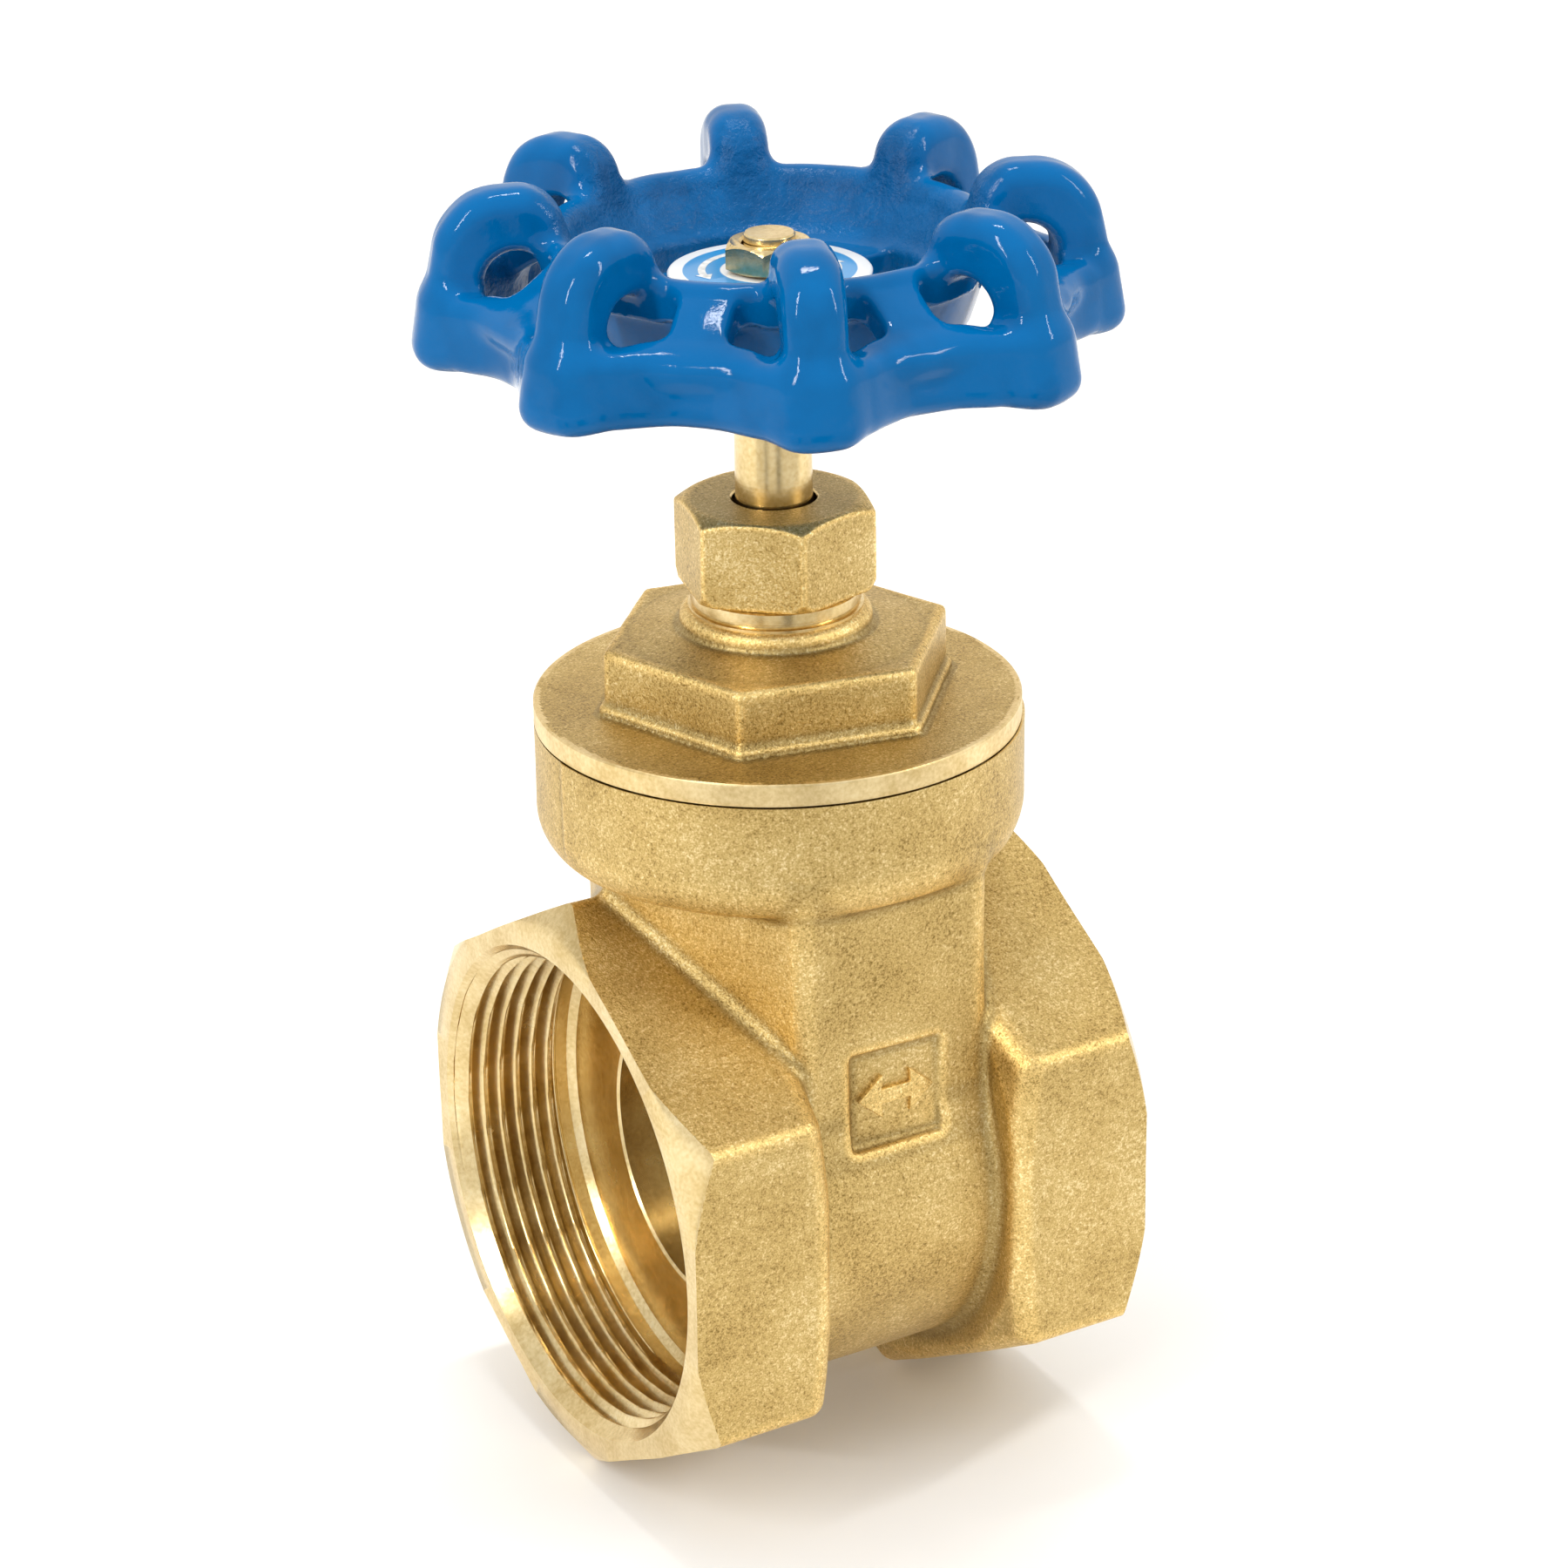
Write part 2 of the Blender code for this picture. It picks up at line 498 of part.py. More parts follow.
def build_gland_nut():
    ends = (GLAND_NUT_CHAMFER_RADIUS, GLAND_NUT_CHAMFER)
    nut = hex_nut("gland_nut", GLAND_NUT_RADIUS, GLAND_NUT_TURN, GLAND_NUT_FOOT_Z, GLAND_NUT_TOP_Z,
                  (ends, ends), BRASS_CAST)
    roof = GLAND_TOP_Z + GAP
    inside = [(0, GLAND_NUT_FOOT_Z - MM), (GLAND_NUT_BORE, GLAND_NUT_FOOT_Z - MM), (GLAND_NUT_BORE, roof)]
    inside += [(GLAND_NUT_HOLE, roof), (GLAND_NUT_HOLE, GLAND_NUT_TOP_Z - 0.4 * MM)]
    inside += [(GLAND_NUT_HOLE + 0.5 * MM, GLAND_NUT_TOP_Z + 0.1 * MM), (0, GLAND_NUT_TOP_Z + 0.1 * MM)]
    combine(nut, as_object("nut_inside", turned(inside)), "DIFFERENCE")


# ---------------------------------------------------------------- handwheel


def band_radius(angle):
    """The wheel's outer radius, from valley to lobe."""
    wave = (1 + math.cos(LOBES * (angle - LOBE_TURN))) / 2
    return BAND_VALLEY_RADIUS + (BAND_LOBE_RADIUS - BAND_VALLEY_RADIUS) * wave


def scalloped_band():
    """The wavy outer band. Its section goes round from the foot's outer edge to its inner edge."""
    steps = LOBES * BAND_STEPS_PER_LOBE
    height = BAND_TOP_Z - WHEEL_FOOT_Z
    section = [(1.4 * MM, WHEEL_FOOT_Z), (0.3 * MM, WHEEL_FOOT_Z + 0.16 * height)]
    section += [(0, WHEEL_FOOT_Z + 0.5 * height), (0.6 * MM, WHEEL_FOOT_Z + 0.84 * height)]
    section += [(1.8 * MM, BAND_TOP_Z), (BAND_THICKNESS, BAND_TOP_Z), (BAND_THICKNESS, WHEEL_FOOT_Z)]
    bm = bmesh.new()
    rings = []
    for step in range(steps):
        angle = LOBE_TURN + math.tau * step / steps
        outer = band_radius(angle)
        ring = []
        for inwards, z in section:
            radius = outer - inwards
            ring.append(bm.verts.new((radius * math.cos(angle), radius * math.sin(angle), z)))
        rings.append(ring)
    count = len(section)
    for ring, after in zip(rings, rings[1:] + rings[:1]):
        for k in range(count):
            bm.faces.new([ring[k], ring[(k + 1) % count], after[(k + 1) % count], after[k]])
    return bm


def radial_bar(bm, angle, path, width, sides):
    """Sweeps a section along path, a list of (radius, height, depth) in the upright plane at angle."""
    out = (math.cos(angle), math.sin(angle))
    across = (-math.sin(angle), math.cos(angle))
    reach = 0.5 / math.cos(math.pi / sides)
    rings = []
    for k, (radius, height, depth) in enumerate(path):
        before = path[max(k - 1, 0)]
        after = path[min(k + 1, len(path) - 1)]
        length = math.hypot(after[0] - before[0], after[1] - before[1])
        normal = (-(after[1] - before[1]) / length, (after[0] - before[0]) / length)
        ring = []
        for side in range(sides):
            turn = math.tau * (side + 0.5) / sides
            a = width * reach * math.cos(turn)
            b = depth * reach * math.sin(turn)
            r = radius + b * normal[0]
            point = (r * out[0] + a * across[0], r * out[1] + a * across[1], height + b * normal[1])
            ring.append(bm.verts.new(point))
        rings.append(ring)
    bm.faces.new(rings[0])
    bm.faces.new(rings[-1])
    for ring, after in zip(rings, rings[1:]):
        for k in range(sides):
            bm.faces.new([ring[k], ring[(k + 1) % sides], after[(k + 1) % sides], after[k]])


def lobe_arches():
    """The finger loops: each rises from the band, bends over its window and lands on the inner ring."""
    # Each row is the radius and height of the loop's middle line, and the loop's depth there, in millimetres.
    outer_leg = [(36.4, 102.4, 7.0), (36.5, 106.0, 7.0), (35.9, 110.0, 6.8), (34.6, 113.6, 7.0)]
    crest = [(32.6, 116.3, 7.2), (30.0, 117.4, 7.2), (27.6, 116.9, 6.4)]
    inner_leg = [(26.0, 115.3, 5.4), (25.2, 112.8, 4.4), (24.6, 110.6, 3.6)]
    path = [(radius * MM, height * MM, depth * MM) for radius, height, depth in outer_leg + crest + inner_leg]
    bm = bmesh.new()
    for lobe in range(LOBES):
        radial_bar(bm, LOBE_TURN + math.tau * lobe / LOBES, path, ARCH_WIDTH, ARCH_SIDES)
    return bm


def valley_bars():
    """The sloping bars between the windows, from the band up to the inner ring."""
    foot = (BAND_VALLEY_RADIUS - 2.2 * MM, BAND_TOP_Z - 2.0 * MM, BAR_THICKNESS)
    head = (RING_RADIUS + 0.9 * MM, RING_TOP_Z - 2.4 * MM, BAR_THICKNESS)
    bm = bmesh.new()
    for lobe in range(LOBES):
        radial_bar(bm, LOBE_TURN + math.tau * (lobe + 0.5) / LOBES, [foot, head], BAR_WIDTH, 4)
    return bm


def floor_opening(turn):
    """A kidney-shaped prism between the hub and the bowl's wall."""
    steps = 8
    angles = [turn + FLOOR_OPENING_SPAN * (k / steps - 0.5) for k in range(steps + 1)]
    inner = HUB_RADIUS + 0.6 * MM
    outer = BOWL_FLOOR_RADIUS - 0.2 * MM
    outline = [(outer * math.cos(a), outer * math.sin(a)) for a in angles]
    outline += [(inner * math.cos(a), inner * math.sin(a)) for a in reversed(angles)]
    return prism(outline, WHEEL_FOOT_Z, RING_TOP_Z)


def build_handwheel():
    floor_foot = BOWL_FLOOR_Z - FLOOR_THICKNESS
    wall = RING_RADIUS + RING_WALL
    profile = [(0, HUB_FOOT_Z), (HUB_NECK_RADIUS, HUB_FOOT_Z), (HUB_NECK_RADIUS, floor_foot)]
    profile += [(BOWL_FLOOR_RADIUS + 0.6 * MM, floor_foot), (BOWL_FLOOR_RADIUS + 1.4 * MM, BOWL_SKIRT_Z)]
    profile += [(BOWL_FLOOR_RADIUS + 4.0 * MM, BOWL_SKIRT_Z), (wall - 0.2 * MM, RING_TOP_Z - 2.0 * MM)]
    profile += [(wall - 0.4 * MM, RING_TOP_Z - 0.6 * MM), (wall - 1.2 * MM, RING_TOP_Z)]
    profile += [(RING_RADIUS + 0.5 * MM, RING_TOP_Z), (RING_RADIUS - 0.2 * MM, RING_TOP_Z - 1.0 * MM)]
    profile += [(BOWL_FLOOR_RADIUS + 1.4 * MM, BOWL_FLOOR_Z + 1.6 * MM), (BOWL_FLOOR_RADIUS, BOWL_FLOOR_Z)]
    profile += [(HUB_RADIUS, BOWL_FLOOR_Z), (HUB_RADIUS, HUB_TOP_Z), (0, HUB_TOP_Z)]
    wheel = as_object("handwheel", turned(profile, ROUND), ENAMEL)
    for k in range(FLOOR_OPENINGS):
        opening = floor_opening(FLOOR_OPENING_TURN + math.tau * k / FLOOR_OPENINGS)
        combine(wheel, as_object("opening", opening), "DIFFERENCE")
    for part in (valley_bars(), scalloped_band(), lobe_arches()):
        combine(wheel, as_object("wheel_part", part), "UNION")
    half = DRIVE_ACROSS / 2 + GAP
    hole = prism(rectangle(half, half), HUB_FOOT_Z - MM, HUB_TOP_Z + MM)
    combine(wheel, as_object("square_hole", hole), "DIFFERENCE")


def build_plate_and_nut():
    low = HUB_TOP_Z + GAP
    as_object("wheel_plate", tube(PLATE_HOLE, PLATE_RADIUS, low, low + PLATE_THICKNESS, ROUND), PLATE)
    low += PLATE_THICKNESS + GAP
    across = WHEEL_NUT_RADIUS * math.cos(math.pi / 6)
    nut = hex_nut("wheel_nut", WHEEL_NUT_RADIUS, WHEEL_NUT_TURN, low, low + WHEEL_NUT_HEIGHT,
                  ((across, 0.3 * MM), (across, WHEEL_NUT_CHAMFER)), BRASS_TURNED)
    bore = cylinder(STEM_TIP_RADIUS + GAP, low - MM, low + WHEEL_NUT_HEIGHT + MM)
    combine(nut, as_object("nut_bore", bore), "DIFFERENCE")


clear_scene()
build_body()
build_bonnet()
build_gasket()
build_stem()
build_wedge()
build_lock_ring()
build_thrust_washer()
build_stuffing_box()
build_gland_nut()
build_handwheel()
build_plate_and_nut()
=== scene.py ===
"""Looks of the brass gate valve: cast and turned surfaces, pipe threads, enamelled handwheel, studio.

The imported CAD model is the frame. Cast pieces are modelled as distance fields, whose smooth unions
give the fillets that a casting has, and are meshed here. Turned surfaces and threads are then cut in them.
Field and profile sizes are in millimetres, in the frame's axes, and objects are in metres.
"""

import math

import bmesh
import bpy
import numpy as np
from mathutils import Matrix, Vector


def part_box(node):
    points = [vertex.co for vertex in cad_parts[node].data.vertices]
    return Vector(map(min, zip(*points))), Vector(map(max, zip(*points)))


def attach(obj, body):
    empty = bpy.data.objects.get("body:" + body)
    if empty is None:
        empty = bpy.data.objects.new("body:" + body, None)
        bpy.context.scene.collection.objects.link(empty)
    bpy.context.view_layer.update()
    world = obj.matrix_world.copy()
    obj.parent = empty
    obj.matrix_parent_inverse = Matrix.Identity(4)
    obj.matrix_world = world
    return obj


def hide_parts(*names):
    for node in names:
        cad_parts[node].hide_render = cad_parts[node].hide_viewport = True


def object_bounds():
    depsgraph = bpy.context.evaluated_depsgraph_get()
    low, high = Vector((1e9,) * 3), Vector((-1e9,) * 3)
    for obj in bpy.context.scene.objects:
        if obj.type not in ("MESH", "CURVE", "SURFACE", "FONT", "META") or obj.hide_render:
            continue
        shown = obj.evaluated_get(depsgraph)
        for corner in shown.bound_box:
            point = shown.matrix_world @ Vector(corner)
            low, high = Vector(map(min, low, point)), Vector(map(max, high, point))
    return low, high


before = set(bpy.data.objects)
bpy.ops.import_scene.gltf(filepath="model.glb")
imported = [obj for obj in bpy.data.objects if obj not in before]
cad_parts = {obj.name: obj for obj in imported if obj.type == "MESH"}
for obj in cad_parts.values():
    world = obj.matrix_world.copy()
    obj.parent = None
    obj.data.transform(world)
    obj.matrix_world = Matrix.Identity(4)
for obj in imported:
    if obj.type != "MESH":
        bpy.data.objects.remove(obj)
cad_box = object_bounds()

MM = 0.001
SIN60 = math.sin(math.radians(60))
# Material numbers, which are places in a piece's list of materials
CAST = 0
TURNED = 1
BORED = 2


def span(node):
    """A node's lowest and highest corner in millimetres."""
    low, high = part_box(node)
    return low / MM, high / MM


# Driving sizes, read from the frame
_, BODY_HIGH = span("valve_body")
BONNET_LOW, BONNET_HIGH = span("bonnet")
NUT_LOW, NUT_HIGH = span("gland_nut")
STEM_LOW, STEM_HIGH = span("stem")
WHEEL_LOW, WHEEL_HIGH = span("handwheel")
PLATE_LOW, PLATE_HIGH = span("wheel_plate")
WHEEL_NUT_LOW, WHEEL_NUT_HIGH = span("wheel_nut")

# Valve body
END_X = BODY_HIGH.x
HEX_APOTHEM = BODY_HIGH.y
COLLAR_TOP = BODY_HIGH.z
HEX_RIDGE = HEX_APOTHEM / SIN60
FACE_RADIUS = 33.7
RIDGE_END_X = END_X - 2.9
BLOCK_START = 12.6
BLOCK_CONE = 0.28
BLOCK_END_ROUND = 2.0
RIDGE_ROUND = 1.7
BARREL_RADIUS = 28.6
CHAMBER_HALF_Y = 26.0
CHAMBER_CORNER_X = 12.5
CHAMBER_TIP_X = 24.0
CHAMBER_FOOT = 9.0
CHAMBER_TOP = 46.0
COLLAR_RADIUS = 29.1
COLLAR_FOOT = 41.2
COLLAR_CONE = (0.892, -0.453, -5.93)
MOULD_STEP = 0.26
CAVITY_HALF_X = 11.2
CAVITY_RADIUS = 23.8
CAVITY_HALF_Y = 22.4
SLOT_FOOT = -0.7
SLOT_TOP = 60.0
SEAT_RING_RADIUS = 20.6
SEAT_PLANE = 9.4
SEAT_ANGLE = math.radians(3)
RIB_HALF_X = 1.5
RIB_INNER_Y = 20.4
RIB_FOOT = -4.3
RIB_TOP = 40.0
PAD_HALF_X = 6.3
PAD_FOOT = 10.2
PAD_TOP = 22.6
PAD_DEPTH = 0.9
BODY_CELL = 0.42

# Sockets
MOUTH_RADIUS = 30.7
MOUTH_SLOPE = 0.85
THREAD_MIDDLE = 29.0
THREAD_DEPTH = 1.5
THREAD_PITCH = 2.209
THREAD_END = 16.3
THREAD_RUN_IN = 0.7
THREAD_TAPER = 1 / 32
RELIEF_RADIUS = 29.7
SHOULDER_X = 13.85
PORT_RADIUS = 17.7

# Bonnet
COLLAR_BORE = 24.0
COLLAR_BORE_FOOT = 43.0
GASKET_SEAT_RADIUS = 26.6
GASKET_SEAT = COLLAR_TOP - 1.05
FLANGE_RADIUS = BONNET_HIGH.x
FLANGE_FOOT = COLLAR_TOP + 0.14
FLANGE_TOP = COLLAR_TOP + 2.75
BONNET_APOTHEM = 18.4
BONNET_TURN = math.radians(-11.8)
BONNET_HEX_TOP = FLANGE_TOP + 7.85
BONNET_CROWN = 0.17
BONNET_SKIRT = 0.65
BONNET_SKIRT_TOP = FLANGE_TOP + 0.9
BOSS_RADIUS = 11.3
BOSS_TOP = BONNET_HEX_TOP + 3.15
NECK_RADIUS = 10.0
NECK_TOP = 71.7
NECK_THREAD_RADIUS = 8.5
NECK_THREAD_DEPTH = 0.7
NECK_THREAD_ROOT = 7.8
NECK_THREAD_PITCH = 1.5
SPIGOT_RADIUS = 23.7
SPIGOT_BORE = 21.0
POCKET_FOOT = 53.8
POCKET_RADIUS = 17.5
POCKET_TOP = 56.8
POCKET_NARROW_RADIUS = 13.5
POCKET_NARROW_TOP = 59.0
STEM_COLLAR_BORE = 9.3
BONNET_SHOULDER = 67.0
STEM_HOLE_RADIUS = 4.8
STUFFING_BOX_FLOOR = 68.8
STUFFING_BOX_RADIUS = 6.9
BONNET_CELL = 0.36

# Gland nut: its chamfers are (radius at the end, height at the corners)
NUT_FOOT_CHAMFER = (11.5, 1.3)
NUT_HEAD_CHAMFER = (10.35, 1.05)
NUT_BORE = 8.8
NUT_HOLE = 4.96
NUT_HEAD_THICKNESS = 2.3
NUT_CELL = 0.2

# Wheel nut and plate
WHEEL_NUT_BORE = 3.23
PLATE_HOLE = 3.3
MARK_RADIUS = 7.75

# Stem
STEM_RADIUS = 4.5
STEM_COLLAR_RADIUS = 8.6
STEM_COLLAR_FOOT = 63.9
STEM_COLLAR_TOP = 65.6
DRIVE_FOOT = 101.6
DRIVE_HALF = 3.15
DRIVE_TOP = 108.4
GATE_THREAD_TOP = 57.4
GATE_THREAD_RADIUS = 4.0
GATE_THREAD_LEAD = 3.0
TIP_THREAD_RADIUS = 2.74
TIP_THREAD_PITCH = 1.0

# Handwheel
LOBES = 8
LOBE_TURN = math.radians(22.4)
LOBE_TOP = WHEEL_HIGH.z
BAND_FOOT = WHEEL_LOW.z
LOBE_RADIUS = 40.1
VALLEY_RADIUS = 34.0
WAVE_POWER = 1.2
WAVE_SLOPE = 0.30
RING_RADIUS = 24.4
RING_TOP = 115.05
WEB_HEAD = 113.3
WEB_FOOT = 107.8
WEB_HALF = 1.75
BAND_HALF = 2.2
WINDOW_INNER = 25.7
WINDOW_OUTER = 31.3
BAR_HALF = 3.3
LOOP_HOLE_R = 28.8
LOOP_HOLE_Z = 110.4
LOOP_HOLE_HALF = 3.7
LOOP_HALF = 3.5
LOOP_FLARE = 0.11
LOOP_FLARE_TOP = 110.0
LOOP_FACE_Z = 104.4
LOOP_FACE_OUT = 0.979
LOOP_FACE_UP = 0.203
LOOP_INNER = 22.9
LOOP_GAP_R = 27.0
LOOP_GAP_TOP = 111.5
HUB_TOP = 108.9
HUB_RADIUS = 11.9
HUB_FOOT = 101.9
HUB_NECK_RADIUS = 8.4
FLOOR_TOP = 108.2
FLOOR_FOOT = 105.2
FLOOR_RADIUS = 18.4
BOWL_SLOPE = 0.74
SKIRT_RADIUS = 22.4
SKIRT_FOOT = 103.4
SKIRT_SLOPE = 0.32
FLOOR_OPENINGS = 3
FLOOR_OPENING_TURN = math.radians(-23)
FLOOR_OPENING_HALF = math.radians(33)
SQUARE_HOLE_HALF = 3.45
WHEEL_CELL = 0.38

# Camera, in metres
CAMERA_AZIMUTH = math.radians(-30.156)
CAMERA_ELEVATION = math.radians(23.256)
CAMERA_ROLL = math.radians(-0.998)
CAMERA_DISTANCE = 0.52877
CAMERA_RIGHT = 0.000573
CAMERA_UP = 0.0425
CAMERA_LENS = 98.55
FLOOR_SIZE = 4.0
FLOOR_GAP = 0.0003


# ------------------------------------------------------------ distance fields


def fillet(a, b, r):
    """Union of two fields, with a concave fillet of radius r where they meet."""
    return np.maximum(r, np.minimum(a, b)) - np.hypot(np.maximum(r - a, 0), np.maximum(r - b, 0))


def rounded(r, *fields):
    """Intersection of fields, with convex edges of radius r."""
    outside = sum(np.maximum(f + r, 0) ** 2 for f in fields)
    most = fields[0]
    for f in fields[1:]:
        most = np.maximum(most, f)
    return np.minimum(-r, most) + np.sqrt(outside)


def blunt(a, b, r, cos):
    """Intersection of two planes' fields, with an edge of radius r. cos is that of their normals' angle."""
    p, q = a + r, b + r
    reach = np.sqrt(np.maximum(p * p + q * q - 2 * p * q * cos, 0)) / math.sqrt(1 - cos * cos)
    return np.where((p > cos * q) & (q > cos * p), reach - r, np.maximum(a, b))


def cut(a, b, r):
    """Field a without field b, with the new edge rounded."""
    return rounded(r, a, -b)


def capsule(u, v, start, end, radius):
    """Distance to a round-ended bar from start to end in the plane (u, v)."""
    du, dv = end[0] - start[0], end[1] - start[1]
    along = ((u - start[0]) * du + (v - start[1]) * dv) / (du * du + dv * dv)
    along = np.clip(along, 0, 1)
    return np.hypot(u - start[0] - along * du, v - start[1] - along * dv) - radius


def wobble(x, y, z, size, height):
    """The slight unevenness of a casting, as a sum of waves about size long."""
    k = math.tau / size
    wave = np.sin(k * (x + 0.37 * y) + 1.3) * np.sin(k * (0.91 * y - 0.22 * z) + 0.4)
    wave = wave + np.sin(k * (0.83 * z + 0.41 * x) + 2.1) * np.sin(k * (0.57 * x - 0.78 * y) + 5.2)
    return wave * height / 2


def hexagon(y, z, apothem, r):
    """Hexagon with a ridge up, and its edges rounded."""
    y, slope = np.abs(y), np.abs(z) * SIN60
    side, top, far_top = y - apothem, 0.5 * y + slope - apothem, slope - 0.5 * y - apothem
    return np.maximum(blunt(side, top, r, 0.5), blunt(top, far_top, r, 0.5))


# -------------------------------------------------------------------- meshing


def mesh_object(name, points, faces):
    """An object of points in millimetres and of faces that all have the same number of corners."""
    corners = faces.shape[1]
    mesh = bpy.data.meshes.new(name)
    mesh.vertices.add(len(points))
    mesh.vertices.foreach_set("co", (points * MM).astype(np.float32).ravel())
    mesh.loops.add(faces.size)
    mesh.loops.foreach_set("vertex_index", faces.astype(np.int32).ravel())
    mesh.polygons.add(len(faces))
    mesh.polygons.foreach_set("loop_start", np.arange(0, faces.size, corners, dtype=np.int32))
    mesh.update(calc_edges=True)
    mesh.validate()
    mesh.shade_smooth()
    obj = bpy.data.objects.new(name, mesh)
    bpy.context.scene.collection.objects.link(obj)
    return obj


def pulled_in(field, points, steps=3):
    """Moves points on to the field's surface along its gradient."""
    small = 0.02
    for _ in range(steps):
        x, y, z = points.T
        value = field(x, y, z)
        slope = np.stack([
            field(x + small, y, z) - field(x - small, y, z),
            field(x, y + small, z) - field(x, y - small, z),
            field(x, y, z + small) - field(x, y, z - small),
        ], axis=1) / (2 * small)
        steep = np.maximum((slope ** 2).sum(axis=1), 0.25)
        points = points - np.clip(value / steep, -0.2, 0.2)[:, None] * slope
    return points


def field_mesh(name, field, low, high, cell):
    """Meshes the surface where field is zero, by surface nets: one point in each cell that it crosses."""
    axes = [np.arange(a, b + cell, cell, dtype=np.float32) for a, b in zip(low, high)]
    grid = np.meshgrid(*axes, indexing="ij", sparse=True)
    value = np.broadcast_to(field(*grid), [len(a) for a in axes]).astype(np.float32)
    inside = value < 0
    shape = tuple(n - 1 for n in value.shape)
    total = np.zeros(shape + (3,), np.float32)
    count = np.zeros(shape, np.int8)
    crossings = []
    for axis in range(3):
        first = [slice(None)] * 3
        second = [slice(None)] * 3
        first[axis] = slice(0, -1)
        second[axis] = slice(1, None)
        first, second = tuple(first), tuple(second)
        mask = inside[first] != inside[second]
        place = np.argwhere(mask)
        start, end = value[first][mask], value[second][mask]
        share = start / (start - end)
        crossings.append((axis, place, inside[first][mask]))
        others = [a for a in range(3) if a != axis]
        for da in (0, 1):
            for db in (0, 1):
                cells = place.copy()
                cells[:, others[0]] -= da
                cells[:, others[1]] -= db
                ok = (cells >= 0).all(axis=1) & (cells < shape).all(axis=1)
                at = place[ok].astype(np.float32)
                at[:, axis] += share[ok]
                index = tuple(cells[ok].T)
                total[index] += at
                count[index] += 1
    used = count > 0
    number = np.full(shape, -1, np.int64)
    number[used] = np.arange(used.sum())
    points = total[used] / count[used][:, None] * cell + np.array(low, np.float32)
    faces = []
    for axis, place, start_inside in crossings:
        a, b = [(1, 2), (2, 0), (0, 1)][axis]
        quad = []
        for da, db in ((1, 1), (0, 1), (0, 0), (1, 0)):
            cells = place.copy()
            cells[:, a] -= da
            cells[:, b] -= db
            quad.append(number[tuple(cells.T)])
        quad = np.stack(quad, axis=1)
        quad[~start_inside] = quad[~start_inside][:, ::-1]
        faces.append(quad)
    points = pulled_in(field, points.astype(np.float64))
    return mesh_object(name, points, np.concatenate(faces))


def add_polish_and_crease_shade(obj, field, reach=0.9, extra=None):
    """Stores how far each vertex is on an edge (above 0) or in a hollow (below 0), as a point attribute.
    The brass material lightens the edges with it, partly as real polish and partly as painted highlight,
    and darkens the hollows with it as painted shade.

    It comes from the field's curvature within reach, and extra(x, y, z) is added to it.
    """
    points = np.empty(len(obj.data.vertices) * 3, np.float32)
    obj.data.vertices.foreach_get("co", points)
    x, y, z = points.reshape(-1, 3).astype(np.float64).T / MM
    total = -6 * field(x, y, z)
    for step in (-reach, reach):
        total = total + field(x + step, y, z) + field(x, y + step, z) + field(x, y, z + step)
    total = total / reach
    if extra is not None:
        total = total + extra(x, y, z)
    polish_and_crease_shade = obj.data.attributes.new("polish_and_crease_shade", "FLOAT", "POINT")
    polish_and_crease_shade.data.foreach_set("value", np.clip(total, -0.6, 0.6).astype(np.float32))


def on_x(points):
    """Turns points about Z into points about X."""
    return points[:, [2, 0, 1]]


def turned(name, profile, facets=160, about="Z"):
    """A closed solid of revolution from (radius, height) points. Its two ends are on the axis or joined."""
    profile = [tuple(p) for p in profile]
    closed = profile[0][0] > 0
    bm = bmesh.new()
    rings = []
    for radius, height in profile:
        if radius == 0:
            rings.append([(0.0, 0.0, height)])
        else:
            turns = [math.tau * k / facets for k in range(facets)]
            rings.append([(radius * math.cos(t), radius * math.sin(t), height) for t in turns])
    made = []
    for ring in rings:
        points = on_x(np.array(ring)) if about == "X" else np.array(ring)
        made.append([bm.verts.new(p * MM) for p in points])
    pairs = list(zip(made, made[1:]))
    if closed:
        pairs.append((made[-1], made[0]))
    for ring, after in pairs:
        if len(ring) == 1 and len(after) == 1:
            continue
        for k in range(facets):
            corners = [ring[k % len(ring)], ring[(k + 1) % len(ring)]]
            corners += [after[(k + 1) % len(after)], after[k % len(after)]]
            bm.faces.new(list(dict.fromkeys(corners)))
    return bmesh_object(name, bm)


def bmesh_object(name, bm):
    bmesh.ops.recalc_face_normals(bm, faces=bm.faces)
    mesh = bpy.data.meshes.new(name)
    bm.to_mesh(mesh)
    bm.free()
    mesh.shade_smooth()
    obj = bpy.data.objects.new(name, mesh)
    bpy.context.scene.collection.objects.link(obj)
    return obj


def threaded(name, radius_at, low, high, row, facets=144, about="Z"):
    """A closed solid about an axis whose radius is radius_at(turn, height), with the turn from 0 to 1."""
    rows = int(round((high - low) / row)) + 1
    heights = np.linspace(low, high, rows)
    turn = np.arange(facets) / facets
    t, h = np.meshgrid(turn, heights)
    r = radius_at(t, h)
    points = np.stack([r * np.cos(math.tau * t), r * np.sin(math.tau * t), h], axis=2).reshape(-1, 3)
    ends = np.array([[0, 0, low], [0, 0, high]])
    points = np.concatenate([points, ends])
    if about == "X":
        points = on_x(points)
    bm = bmesh.new()
    verts = [bm.verts.new(p * MM) for p in points]
    for k in range(rows - 1):
        for i in range(facets):
            j = (i + 1) % facets
            bm.faces.new([verts[k * facets + i], verts[k * facets + j],
                          verts[(k + 1) * facets + j], verts[(k + 1) * facets + i]])
    last = (rows - 1) * facets
    for i in range(facets):
        j = (i + 1) % facets
        bm.faces.new([verts[-2], verts[j], verts[i]])
        bm.faces.new([verts[-1], verts[last + i], verts[last + j]])
    return bmesh_object(name, bm)


